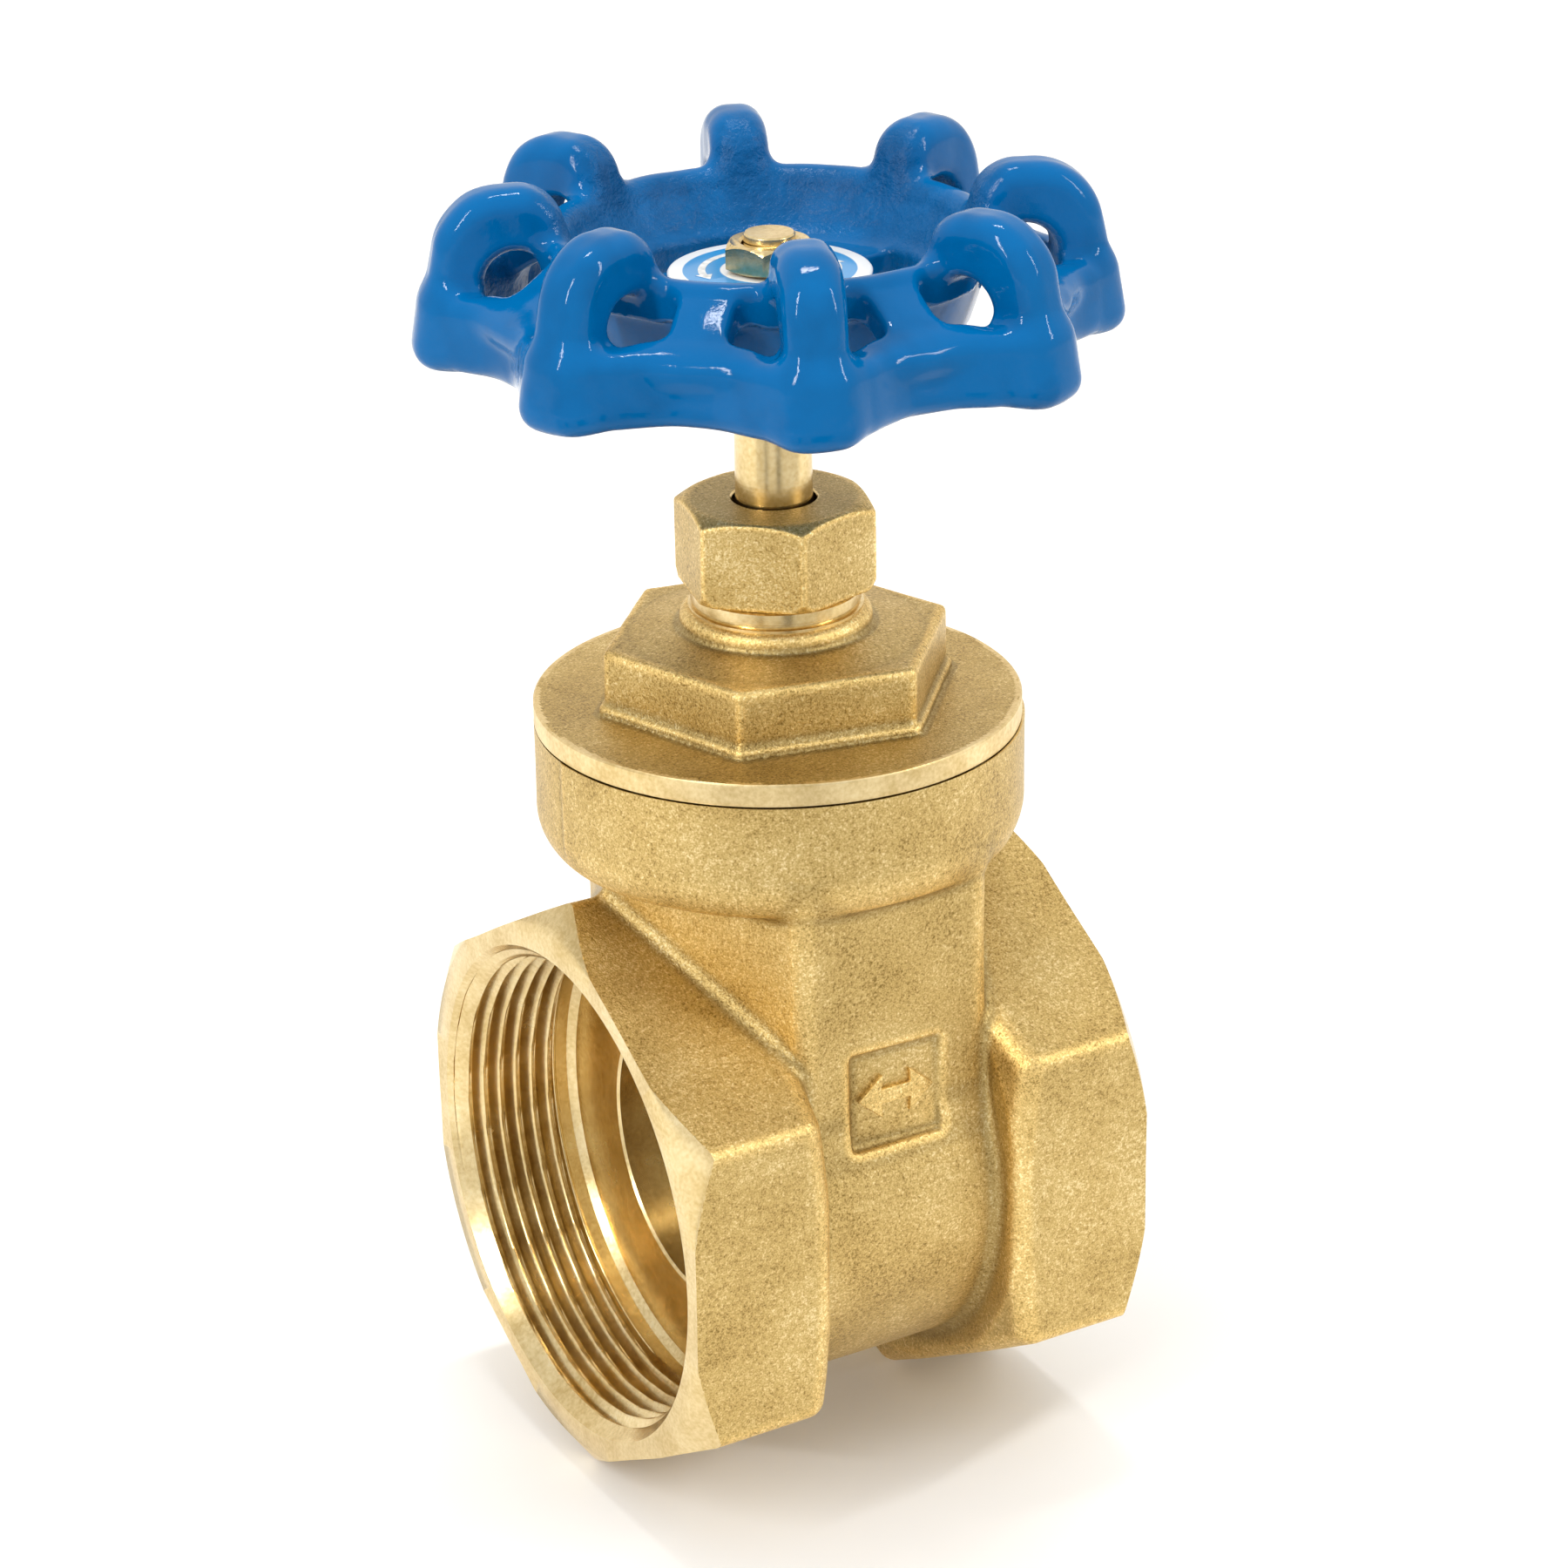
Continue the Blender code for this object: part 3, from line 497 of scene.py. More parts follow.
def prism(name, outline, low, high, about="Z"):
    """An extruded outline of (x, y) points, or of (x, z) points about Y."""
    bm = bmesh.new()
    ends = []
    for height in (low, high):
        if about == "Z":
            points = [(a, b, height) for a, b in outline]
        else:
            points = [(a, height, b) for a, b in outline]
        ends.append([bm.verts.new(Vector(p) * MM) for p in points])
    bm.faces.new(ends[0])
    bm.faces.new(ends[1])
    count = len(outline)
    for k in range(count):
        after = (k + 1) % count
        bm.faces.new([ends[0][k], ends[0][after], ends[1][after], ends[1][k]])
    return bmesh_object(name, bm)


def square(half):
    return [(-half, -half), (half, -half), (half, half), (-half, half)]


def apply_modifiers(obj):
    graph = bpy.context.evaluated_depsgraph_get()
    result = bpy.data.meshes.new_from_object(obj.evaluated_get(graph))
    obj.modifiers.clear()
    old = obj.data
    obj.data = result
    bpy.data.meshes.remove(old)
    return obj


def combine(obj, other, operation):
    """Joins or cuts obj with other, which is used up."""
    modifier = obj.modifiers.new("combine", "BOOLEAN")
    modifier.operation = operation
    modifier.solver = "MANIFOLD"
    modifier.object = other
    before = len(obj.data.polygons)
    apply_modifiers(obj)
    if len(obj.data.polygons) == before:
        print("NOTE: Boolean changed nothing:", obj.name, other.name)
    bpy.data.objects.remove(other, do_unlink=True)
    return obj


def bevelled(obj, width, segments=2, angle=25):
    modifier = obj.modifiers.new("bevel", "BEVEL")
    modifier.width = width * MM
    modifier.segments = segments
    modifier.limit_method = "ANGLE"
    modifier.angle_limit = math.radians(angle)
    modifier.harden_normals = False
    return apply_modifiers(obj)


def finished(obj, body, nodes, materials, rule=None, sharp=38):
    """Gives a piece its materials and its place in the motion, and hides the CAD nodes that it stands for.

    rule gets the faces' x, y, z and normals, and answers with each face's material number.
    """
    obj.data.materials.clear()
    for made in materials:
        obj.data.materials.append(made)
    count = len(obj.data.polygons)
    finish = np.zeros(count, np.int32)
    if rule is not None:
        centre = np.empty(count * 3, np.float32)
        normal = np.empty(count * 3, np.float32)
        obj.data.polygons.foreach_get("center", centre)
        obj.data.polygons.foreach_get("normal", normal)
        finish[:] = rule(*(centre.reshape(-1, 3).T / MM), normal.reshape(-1, 3).T)
    obj.data.polygons.foreach_set("material_index", finish)
    obj.data.polygons.foreach_set("use_smooth", np.ones(count, bool))
    obj.data.set_sharp_from_angle(angle=math.radians(sharp))
    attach(obj, body)
    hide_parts(*nodes)
    return obj


# ------------------------------------------------------------------ materials


class Nodes:
    """A short way to write a material's node tree."""

    def __init__(self, name):
        self.material = bpy.data.materials.new(name)
        self.material.use_nodes = True
        self.tree = self.material.node_tree
        self.shader = self.tree.nodes["Principled BSDF"]

    def add(self, kind, **settings):
        node = self.tree.nodes.new(kind)
        for key, value in settings.items():
            if key[0].isupper():
                node.inputs[key.replace("_", " ")].default_value = value
            else:
                setattr(node, key, value)
        return node

    def link(self, output, target):
        self.tree.links.new(output, target)

    def place(self):
        return self.add("ShaderNodeTexCoord").outputs["Object"]

    def math(self, operation, a, b=None, clamp=False):
        node = self.add("ShaderNodeMath", operation=operation, use_clamp=clamp)
        for socket, value in zip(node.inputs, (a, b)):
            if value is None:
                continue
            if isinstance(value, (int, float)):
                socket.default_value = value
            else:
                self.link(value, socket)
        return node.outputs[0]

    def scaled(self, value, factor, offset):
        return self.math("ADD", self.math("MULTIPLY", value, factor), offset)

    def mixed(self, a, share_a, b, share_b):
        return self.math("ADD", self.math("MULTIPLY", a, share_a), self.math("MULTIPLY", b, share_b))

    def axes(self, vector):
        node = self.add("ShaderNodeSeparateXYZ")
        self.link(vector, node.inputs[0])
        return node.outputs

    def noise(self, vector, scale, detail=2.0, roughness=0.5):
        node = self.add("ShaderNodeTexNoise", Scale=scale, Detail=detail, Roughness=roughness)
        self.link(vector, node.inputs["Vector"])
        return node.outputs["Fac"]

    def ramp(self, value, stops):
        node = self.add("ShaderNodeValToRGB")
        elements = node.color_ramp.elements
        while len(elements) < len(stops):
            elements.new(0.5)
        for element, (place, colour) in zip(elements, stops):
            element.position = place
            element.color = (*colour, 1.0)
        self.link(value, node.inputs["Fac"])
        return node.outputs["Color"]

    def bump(self, height, strength, distance, normal=None):
        node = self.add("ShaderNodeBump", Strength=strength, Distance=distance)
        self.link(height, node.inputs["Height"])
        if normal is not None:
            self.link(normal, node.inputs["Normal"])
        return node.outputs["Normal"]

    def set(self, **values):
        for key, value in values.items():
            socket = self.shader.inputs[key.replace("_", " ")]
            if isinstance(value, (int, float, tuple)):
                socket.default_value = value
            else:
                self.link(value, socket)
        return self.material


def cast_brass():
    """Sandblasted brass: a fine crystalline grain, slightly mottled, with darker pits. Its edges are
    lighter, partly real polish and partly painted highlight, and its hollows darker as painted shade.
    """
    n = Nodes("cast_brass")
    place = n.place()
    grain = n.noise(place, 4300, 3.0, 0.6)
    coarse = n.noise(place, 2000, 2.0, 0.5)
    cloud = n.noise(place, 75, 3.0, 0.6)
    height = n.mixed(grain, 0.65, coarse, 0.35)
    mix = n.mixed(height, 0.75, cloud, 0.25)
    colour = n.ramp(mix, [(0.37, (0.25, 0.16, 0.045)), (0.46, (0.530, 0.365, 0.128)),
                          (0.54, (0.650, 0.472, 0.184)), (0.63, (0.89, 0.73, 0.40))])
    # Painted light: edges lighter (part polish, part painted highlight) and hollows darker (painted shade)
    edge = n.add("ShaderNodeAttribute", attribute_name="polish_and_crease_shade").outputs["Fac"]
    polish_and_shade_scale = n.add("ShaderNodeMapRange", From_Min=-0.5, From_Max=0.5, To_Min=0.70, To_Max=1.30)
    n.link(edge, polish_and_shade_scale.inputs["Value"])
    tinted = n.add("ShaderNodeVectorMath", operation="SCALE")
    n.link(colour, tinted.inputs[0])
    n.link(polish_and_shade_scale.outputs["Result"], tinted.inputs["Scale"])
    rough = n.scaled(cloud, 0.10, 0.38)
    normal = n.bump(height, 1.0, 0.00013)
    return n.set(Base_Color=tinted.outputs["Vector"], Metallic=1.0, Roughness=rough, Normal=normal)


def turned_brass(name, about, tone=1.0, dull=0.0):
    """Machined brass with fine tool rings about an axis."""
    n = Nodes(name)
    place = n.place()
    x, y, z = n.axes(place)
    a, b, along = (y, z, x) if about == "X" else (x, y, z)
    radius = n.math("SQRT", n.mixed(a, a, b, b))
    joined = n.add("ShaderNodeCombineXYZ")
    n.link(radius, joined.inputs[0])
    n.link(along, joined.inputs[1])
    rings = n.noise(joined.outputs[0], 5200, 3.0, 0.6)
    tint = n.noise(place, 160, 3.0, 0.6)
    speck = n.noise(place, 1900, 2.0, 0.5)
    mix = n.mixed(tint, 0.6, speck, 0.4)
    shades = [(0.35, (0.62, 0.45, 0.19)), (0.55, (0.79, 0.62, 0.325)), (0.75, (0.90, 0.76, 0.46))]
    colour = n.ramp(mix, [(place_on, tuple(c * tone for c in shade)) for place_on, shade in shades])
    rough = n.scaled(tint, 0.16, 0.17 + dull)
    normal = n.bump(rings, 0.22, 0.00003)
    return n.set(Base_Color=colour, Metallic=1.0, Roughness=rough, Normal=normal)


def enamel():
    """Thick glossy blue enamel over a rough casting, which shows through inside and underneath; those faces
    are also painted darker, as painted shade.
    """
    n = Nodes("blue_enamel")
    place = n.place()
    x, y, _ = n.axes(place)
    normal_x, normal_y, normal_z = n.axes(n.add("ShaderNodeNewGeometry").outputs["Normal"])
    outward = n.mixed(x, normal_x, y, normal_y)
    # Mask of faces that look inward or down: rougher there, and painted darker there as painted shade
    inside = n.math("MULTIPLY", n.scaled(outward, -60, -0.25), 1.0, clamp=True)
    under = n.math("MULTIPLY", n.scaled(normal_z, -5, -3.3), 1.0, clamp=True)
    rough_and_shaded = n.math("MAXIMUM", inside, under)
    soft = n.noise(place, 150, 2.0, 0.5)
    lumps = n.noise(place, 650, 4.0, 0.65)
    rough_cast = n.math("MULTIPLY", lumps, n.scaled(rough_and_shaded, 0.93, 0.07))
    first = n.bump(soft, 0.18, 0.0006)
    normal = n.bump(rough_cast, 0.8, 0.0006, first)
    # Besides random tone, the inward and downward faces get a darker colour: painted shade
    shade = n.mixed(soft, 0.2, rough_and_shaded, -0.14)
    shade = n.math("ADD", shade, n.scaled(n.math("MULTIPLY", rough_and_shaded, lumps), 0.12, 0.2))
    colour = n.ramp(shade, [(0.10, (0.0, 0.038, 0.125)), (0.22, (0.0, 0.082, 0.240)),
                            (0.31, (0.0, 0.116, 0.33))])
    rough = n.scaled(rough_and_shaded, 0.30, 0.06)
    return n.set(Base_Color=colour, Metallic=0.0, Roughness=rough, Normal=normal, Specular_IOR_Level=0.16)


def printed_plate():
    """A lacquered aluminium disc printed in rings: white rim, blue band, white middle."""
    n = Nodes("printed_plate")
    place = n.place()
    x, y, _ = n.axes(place)
    radius = n.math("SQRT", n.mixed(x, x, y, y))
    scuff = n.noise(place, 900, 3.0, 0.6)
    wide = n.mixed(radius, 1 / 0.012, scuff, 0.006)
    white = (0.86, 0.87, 0.86)
    blue = (0.012, 0.26, 0.60)
    colour = n.ramp(wide, [(0.0, white), (0.470, white), (0.478, blue), (0.826, blue), (0.834, white)])
    return n.set(Base_Color=colour, Metallic=0.0, Roughness=0.28, Coat_Weight=0.4, Coat_Roughness=0.1,
                 Normal=n.bump(scuff, 0.1, 0.00005))


def plain(name, colour, roughness, grain, depth):
    """A plain material with a fine grain."""
    n = Nodes(name)
    place = n.place()
    fine = n.noise(place, grain, 3.0, 0.6)
    darker = tuple(c * 0.6 for c in colour)
    shade = n.ramp(fine, [(0.3, darker), (0.65, colour)])
    return n.set(Base_Color=shade, Metallic=0.0, Roughness=roughness, Normal=n.bump(fine, 0.5, depth))


CAST_BRASS = cast_brass()
TURNED_X = turned_brass("turned_brass_pipe", "X")
TURNED_Z = turned_brass("turned_brass_stem", "Z")
RIM_BRASS = turned_brass("machined_rim", "Z", 1.08, 0.17)
# The gate wedge, deep inside the bore, has its brass colour cut to 0.45 as painted shade
SHADED_WEDGE_BRASS = turned_brass("shaded_wedge_brass", "X", 0.45)
ENAMEL = enamel()
PLATE = printed_plate()
GRAPHITE = plain("graphite_packing", (0.07, 0.07, 0.075), 0.55, 1400, 0.0002)
FIBRE = plain("gasket_fibre", (0.06, 0.065, 0.07), 0.8, 2500, 0.0001)
WHITE_PRINT = plain("white_print", (0.86, 0.87, 0.86), 0.3, 900, 0.00003)


# ----------------------------------------------------------------- valve body


def body_field(x, y, z):
    """The cast body before it is machined."""
    ax, ay = np.abs(x), np.abs(y)
    about_x = np.hypot(y, z)
    about_z = np.hypot(x, y)
    end_cone = BLOCK_START + BLOCK_CONE * np.maximum(about_x - HEX_APOTHEM, 0)
    block = rounded(BLOCK_END_ROUND, hexagon(y, z, HEX_APOTHEM, RIDGE_ROUND), end_cone - ax)
    block = np.maximum(block, ax - END_X - 1)
    barrel = np.maximum(about_x - BARREL_RADIUS, ax - BLOCK_START - 2)
    slant_y = CHAMBER_TIP_X - CHAMBER_CORNER_X
    length = math.hypot(CHAMBER_HALF_Y, slant_y)
    slant = (CHAMBER_HALF_Y * ax + slant_y * ay - CHAMBER_HALF_Y * CHAMBER_TIP_X) / length
    chamber = blunt(ay - CHAMBER_HALF_Y, slant, 2.6, slant_y / length)
    chamber = np.maximum(chamber, CHAMBER_FOOT - z)
    chamber = np.maximum(chamber, z - CHAMBER_TOP)
    out, up, offset = COLLAR_CONE
    under = out * about_z + up * z + offset
    # The two halves of the mould don't quite meet, so there is a small step round the casting.
    mismatch = MOULD_STEP * np.clip(0.5 + y / 0.5, 0, 1)
    collar = blunt(about_z - COLLAR_RADIUS + mismatch, under, 7.0, out)
    collar = rounded(1.0, collar, COLLAR_FOOT - z)
    collar = np.maximum(collar, z - COLLAR_TOP - 1)
    shape = fillet(block, barrel, 1.6)
    shape = fillet(shape, chamber, 1.5)
    shape = fillet(shape, collar, 1.1)
    # The pad runs out towards its lower right corner.
    depth = PAD_DEPTH + 0.035 * (z - PAD_TOP) - 0.03 * (x + PAD_HALF_X)
    pad = rounded(0.8, ax - PAD_HALF_X, PAD_FOOT - z, z - PAD_TOP, y + CHAMBER_HALF_Y - depth)
    shape = cut(shape, pad, 0.45)
    shape = shape + wobble(x, y, z, 17, 0.10)
    cavity = rounded(1.0, about_x - CAVITY_RADIUS, ax - CAVITY_HALF_X)
    slot = rounded(1.0, ay - CAVITY_HALF_Y, ax - CAVITY_HALF_X, SLOT_FOOT - z, z - SLOT_TOP)
    rings = np.maximum(about_x - SEAT_RING_RADIUS, CAVITY_HALF_X / 2 - ax)
    ribs = rounded(0.4, ax - RIB_HALF_X, RIB_INNER_Y - ay, RIB_FOOT - z, z - RIB_TOP)
    hollow = np.maximum(np.minimum(cavity, slot), -np.minimum(rings, ribs))
    return np.maximum(shape, -hollow)


def thread_wave(phase):
    """A rounded triangular wave from -1 to 1, one turn per whole phase."""
    return np.arcsin(0.97 * np.sin(math.tau * phase)) / math.asin(0.97)


def socket_radius(side):
    """The socket's radius at a turn and a height along X: mouth, taper thread, then the relief."""
    def radius_at(turn, x):
        depth = side * x
        taper = (depth - THREAD_END) * THREAD_TAPER
        start = np.clip((depth - THREAD_END) / THREAD_RUN_IN, 0, 1)
        wave = THREAD_DEPTH / 2 * thread_wave(x / THREAD_PITCH - turn)
        middle = THREAD_MIDDLE + taper
        thread = middle + wave * start + (1 - start) * (RELIEF_RADIUS - middle)
        mouth = MOUTH_RADIUS - np.maximum(END_X - depth, 0) * MOUTH_SLOPE
        return np.maximum(thread, mouth)
    return radius_at


def flow_arrow():
    """A double-headed arrow: the valve passes water either way."""
    tip, neck, head, shaft = 5.1, 2.0, 2.8, 0.95
    middle = (PAD_FOOT + PAD_TOP) / 2
    right = [(neck, -shaft), (neck - 0.2, -head), (tip, 0), (neck - 0.2, head), (neck, shaft)]
    left = [(-a, -b) for a, b in right]
    outline = [(a, middle + b) for a, b in right + left]
    face = -CHAMBER_HALF_Y + PAD_DEPTH
    return bevelled(prism("arrow", outline, face - 1.0, face + 0.8, "Y"), 0.16, 3)


def build_body():
    body = field_mesh("valve_body_cast", body_field, (-END_X - 1.6, -34, -39),
                      (END_X + 1.6, 34, COLLAR_TOP + 1.6), BODY_CELL)
    combine(body, flow_arrow(), "UNION")
    # The tapered slot that the gate wedge drops into
    reach = SEAT_RING_RADIUS + 0.4
    lean = reach * math.tan(SEAT_ANGLE)
    outline = [(-SEAT_PLANE + lean, -reach), (SEAT_PLANE - lean, -reach), (SEAT_PLANE + lean, reach),
               (-SEAT_PLANE - lean, reach)]
    wedge = prism("wedge_slot", outline, -SEAT_RING_RADIUS, SEAT_RING_RADIUS, "Y")
    disc = turned("wedge_disc", [(0, -20), (reach, -20), (reach, 20), (0, 20)], 128, "X")
    combine(wedge, disc, "INTERSECT")
    combine(body, wedge, "DIFFERENCE")
    for side in (-1, 1):
        over = HEX_RIDGE + 3
        slope = (END_X - RIDGE_END_X) / (HEX_RIDGE - FACE_RADIUS)
        outline = [(0, END_X), (FACE_RADIUS, END_X), (over, END_X - (over - FACE_RADIUS) * slope),
                   (over, END_X + 4), (0, END_X + 4)]
        face = turned("face_cut", [(r, side * x) for r, x in outline], 256, "X")
        combine(body, face, "DIFFERENCE")
        outline = [(0, 5), (PORT_RADIUS, 5), (PORT_RADIUS, SHOULDER_X - 0.3),
                   (PORT_RADIUS + 0.3, SHOULDER_X), (RELIEF_RADIUS - 0.9, SHOULDER_X),
                   (RELIEF_RADIUS, SHOULDER_X + 0.9), (RELIEF_RADIUS, THREAD_END), (0, THREAD_END)]
        bore = turned("bore", [(r, side * x) for r, x in outline], 180, "X")
        combine(body, bore, "DIFFERENCE")
        low, high = sorted((side * (THREAD_END - 0.3), side * (END_X + 0.6)))
        thread = threaded("thread", socket_radius(side), low, high, THREAD_PITCH / 22, 180, "X")
        combine(body, thread, "DIFFERENCE")
    outline = [(0, COLLAR_BORE_FOOT), (COLLAR_BORE - 0.6, COLLAR_BORE_FOOT),
               (COLLAR_BORE, COLLAR_BORE_FOOT + 0.6), (COLLAR_BORE, GASKET_SEAT),
               (GASKET_SEAT_RADIUS, GASKET_SEAT), (GASKET_SEAT_RADIUS, COLLAR_TOP - 0.15),
               (GASKET_SEAT_RADIUS + 0.15, COLLAR_TOP), (COLLAR_RADIUS + 2, COLLAR_TOP),
               (COLLAR_RADIUS + 2, COLLAR_TOP + 3), (0, COLLAR_TOP + 3)]
    combine(body, turned("bonnet_bore", outline, 200), "DIFFERENCE")

    def pad_shade_and_polish(x, y, z):
        """The pad's recessed floor is darkened as painted shade, and the arrow's top is polished bright."""
        rise = np.clip((PAD_DEPTH - CHAMBER_HALF_Y - y) / PAD_DEPTH, 0, 1)
        pad = (np.abs(x) < PAD_HALF_X - 0.9) & (z > PAD_FOOT + 0.9) & (z < PAD_TOP - 0.9)
        pad &= y < 2 - CHAMBER_HALF_Y
        return np.where(pad, 0.75 * rise ** 3 - 0.3, 0)

    add_polish_and_crease_shade(body, body_field, extra=pad_shade_and_polish)

    def rule(x, y, z, normal):
        about_x, about_z = np.hypot(y, z), np.hypot(x, y)
        cone = END_X - np.maximum(about_x - FACE_RADIUS, 0) * slope
        end = (np.abs(x) > cone - 0.05) & (about_x < HEX_RIDGE + 0.5)
        socket = (about_x < MOUTH_RADIUS + 0.3) & (np.abs(x) > SHOULDER_X - 0.1)
        port = (about_x < SEAT_RING_RADIUS + 0.3) & (np.abs(x) < SHOULDER_X) & (np.abs(x) > 7)
        bore = (z > COLLAR_BORE_FOOT - 0.1) & (about_z < GASKET_SEAT_RADIUS + 0.2)
        mouth = (z > COLLAR_TOP - 0.05) | bore
        return np.select([mouth, end | socket | port], [BORED, TURNED], CAST)

    return finished(body, "housing", ["valve_body"], [CAST_BRASS, TURNED_X, TURNED_Z], rule)


# --------------------------------------------------------------------- bonnet


def bonnet_field(x, y, z):
    cos, sin = math.cos(BONNET_TURN), math.sin(BONNET_TURN)
    u, v = x * cos + y * sin, -x * sin + y * cos
    about_z = np.hypot(x, y)
    # hexagon() has its corners on its second axis, so the turned X axis goes there.
    sides = hexagon(v, u, BONNET_APOTHEM, 0.8)
    # The hexagon's top rises a little towards the boss.
    crown = BONNET_CROWN * np.clip(BONNET_APOTHEM - 1 - about_z, 0, 6)
    hexagon_part = rounded(0.75, sides, z - BONNET_HEX_TOP - crown)
    skirt = rounded(0.35, hexagon(v, u, BONNET_APOTHEM + BONNET_SKIRT, 1.2), z - BONNET_SKIRT_TOP)
    boss = rounded(1.3, about_z - BOSS_RADIUS, z - BOSS_TOP)
    flange = np.maximum(rounded(0.1, about_z - FLANGE_RADIUS - 0.5, z - FLANGE_TOP), FLANGE_FOOT - 0.6 - z)
    top = fillet(hexagon_part, boss, 0.5)
    shape = fillet(fillet(skirt, top, 0.8), flange, 0.35)
    shape = np.maximum(shape, FLANGE_FOOT - 0.6 - z)
    return shape + wobble(x, y, z, 11, 0.06)


def build_bonnet():
    reach = FLANGE_RADIUS + 1.2
    bonnet = field_mesh("bonnet_cast", bonnet_field, (-reach, -reach, FLANGE_FOOT - 1.5),
                        (reach, reach, BOSS_TOP + 1), BONNET_CELL)
    rim = [(FLANGE_RADIUS, FLANGE_FOOT - 3), (FLANGE_RADIUS + 4, FLANGE_FOOT - 3),
           (FLANGE_RADIUS + 4, FLANGE_TOP + 1), (FLANGE_RADIUS - 0.9, FLANGE_TOP + 1),
           (FLANGE_RADIUS - 0.2, FLANGE_TOP - 0.03), (FLANGE_RADIUS, FLANGE_TOP - 0.2)]
    combine(bonnet, turned("rim_cut", rim, 256), "DIFFERENCE")
    foot = [(0, FLANGE_FOOT - 3), (FLANGE_RADIUS + 5, FLANGE_FOOT - 3),
            (FLANGE_RADIUS + 5, FLANGE_FOOT), (0, FLANGE_FOOT)]
    combine(bonnet, turned("foot_cut", foot, 200), "DIFFERENCE")
    spigot = [(0, BONNET_LOW.z), (SPIGOT_RADIUS - 0.5, BONNET_LOW.z), (SPIGOT_RADIUS, BONNET_LOW.z + 0.5),
              (SPIGOT_RADIUS, FLANGE_FOOT + 0.5), (0, FLANGE_FOOT + 0.5)]
    combine(bonnet, turned("spigot", spigot, 200), "UNION")
    neck = [(0, BOSS_TOP - 1), (NECK_RADIUS + 0.3, BOSS_TOP - 1), (NECK_RADIUS + 0.3, BOSS_TOP + 0.3),
            (NECK_RADIUS + 0.15, BOSS_TOP + 0.4), (NECK_RADIUS - 0.3, BOSS_TOP + 0.4),
            (NECK_RADIUS - 0.3, BOSS_TOP + 0.75), (NECK_RADIUS, BOSS_TOP + 0.9),
            (NECK_RADIUS, NECK_TOP - 0.2), (NECK_RADIUS - 0.2, NECK_TOP), (NECK_THREAD_ROOT, NECK_TOP),
            (NECK_THREAD_ROOT, BONNET_HIGH.z), (0, BONNET_HIGH.z)]
    combine(bonnet, turned("neck", neck, 160), "UNION")

    def neck_thread(turn, height):
        wave = thread_wave(height / NECK_THREAD_PITCH - turn)
        half = NECK_THREAD_DEPTH / 2
        begun = np.clip((height - NECK_TOP - 0.4) / 0.8, 0, 1)
        end = np.minimum(0, BONNET_HIGH.z - 0.7 - height) * 0.7
        radius = NECK_THREAD_RADIUS - half + half * wave * begun - 0.1 * (1 - begun) + end
        return np.maximum(radius, NECK_THREAD_ROOT + 0.15)

    combine(bonnet, threaded("neck_thread", neck_thread, NECK_TOP - 0.5, BONNET_HIGH.z, 0.1, 128), "UNION")
    inside = [(0, BONNET_LOW.z - 1), (SPIGOT_BORE, BONNET_LOW.z - 1), (SPIGOT_BORE, POCKET_FOOT),
              (POCKET_RADIUS, POCKET_TOP), (POCKET_NARROW_RADIUS, POCKET_NARROW_TOP),
              (STEM_COLLAR_BORE, POCKET_NARROW_TOP), (STEM_COLLAR_BORE, BONNET_SHOULDER),
              (STEM_HOLE_RADIUS, BONNET_SHOULDER), (STEM_HOLE_RADIUS, STUFFING_BOX_FLOOR),
              (STUFFING_BOX_RADIUS, STUFFING_BOX_FLOOR), (STUFFING_BOX_RADIUS, BONNET_HIGH.z + 1),
              (0, BONNET_HIGH.z + 1)]
    combine(bonnet, turned("inside", inside, 160), "DIFFERENCE")
    add_polish_and_crease_shade(bonnet, bonnet_field)

    def rule(x, y, z, normal):
        about_z = np.hypot(x, y)
        rim = (about_z > FLANGE_RADIUS - 0.8) & (z < FLANGE_TOP + 0.02)
        neck = (about_z < NECK_RADIUS + 0.35) & (z > BOSS_TOP + 0.02)
        bored = neck | (z < FLANGE_FOOT + 0.02) | (about_z < BONNET_APOTHEM / 2)
        return np.select([bored, rim], [BORED, TURNED], CAST)

    return finished(bonnet, "housing", ["bonnet"], [CAST_BRASS, RIM_BRASS, TURNED_Z], rule)


# ---------------------------------------------------------- stem, nuts, plate


def nut_shape(name, radius, turn, low, high, foot, head, bevel):
    """A hexagonal prism, turned off at both ends. foot and head are (radius at the end, cone's height)."""
    angles = [turn + math.tau * k / 6 for k in range(6)]
    nut = prism(name, [(radius * math.cos(a), radius * math.sin(a)) for a in angles], low, high)
    clear = radius * 1.04
    low_rise = foot[1] * (clear - foot[0]) / (radius - foot[0])
    high_fall = head[1] * (clear - head[0]) / (radius - head[0])
    outline = [(0, low - 1), (foot[0], low - 1), (foot[0], low), (clear, low + low_rise),
               (clear, high - high_fall), (head[0], high), (head[0], high + 1), (0, high + 1)]
    combine(nut, turned("chamfers", outline, 180), "INTERSECT")
    return bevelled(nut, bevel, 3, 12)


def widest_corner(node):
    """The turn and the radius of the corners of a hexagonal node."""
    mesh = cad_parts[node].data
    far = max(mesh.vertices, key=lambda v: math.hypot(v.co.x, v.co.y))
    return math.atan2(far.co.y, far.co.x), math.hypot(far.co.x, far.co.y) / MM


def nut_field(radius, turn, low, high, foot, head):
    """A cast hexagonal nut with the chamfers foot and head."""
    cos, sin = math.cos(turn), math.sin(turn)

    def chamfer(about_z, depth, end):
        wide = radius - end[0]
        return (end[1] * (about_z - end[0]) + wide * depth) / math.hypot(end[1], wide)

    def field(x, y, z):
        about_z = np.hypot(x, y)
        sides = hexagon(-x * sin + y * cos, x * cos + y * sin, radius * SIN60, 0.55)
        shape = blunt(sides, chamfer(about_z, z - high, head), 0.45, 0.5)
        shape = blunt(shape, chamfer(about_z, low - z, foot), 0.45, 0.8)
        return rounded(0.25, shape, z - high, low - z) + wobble(x, y, z, 9, 0.05)

    return field


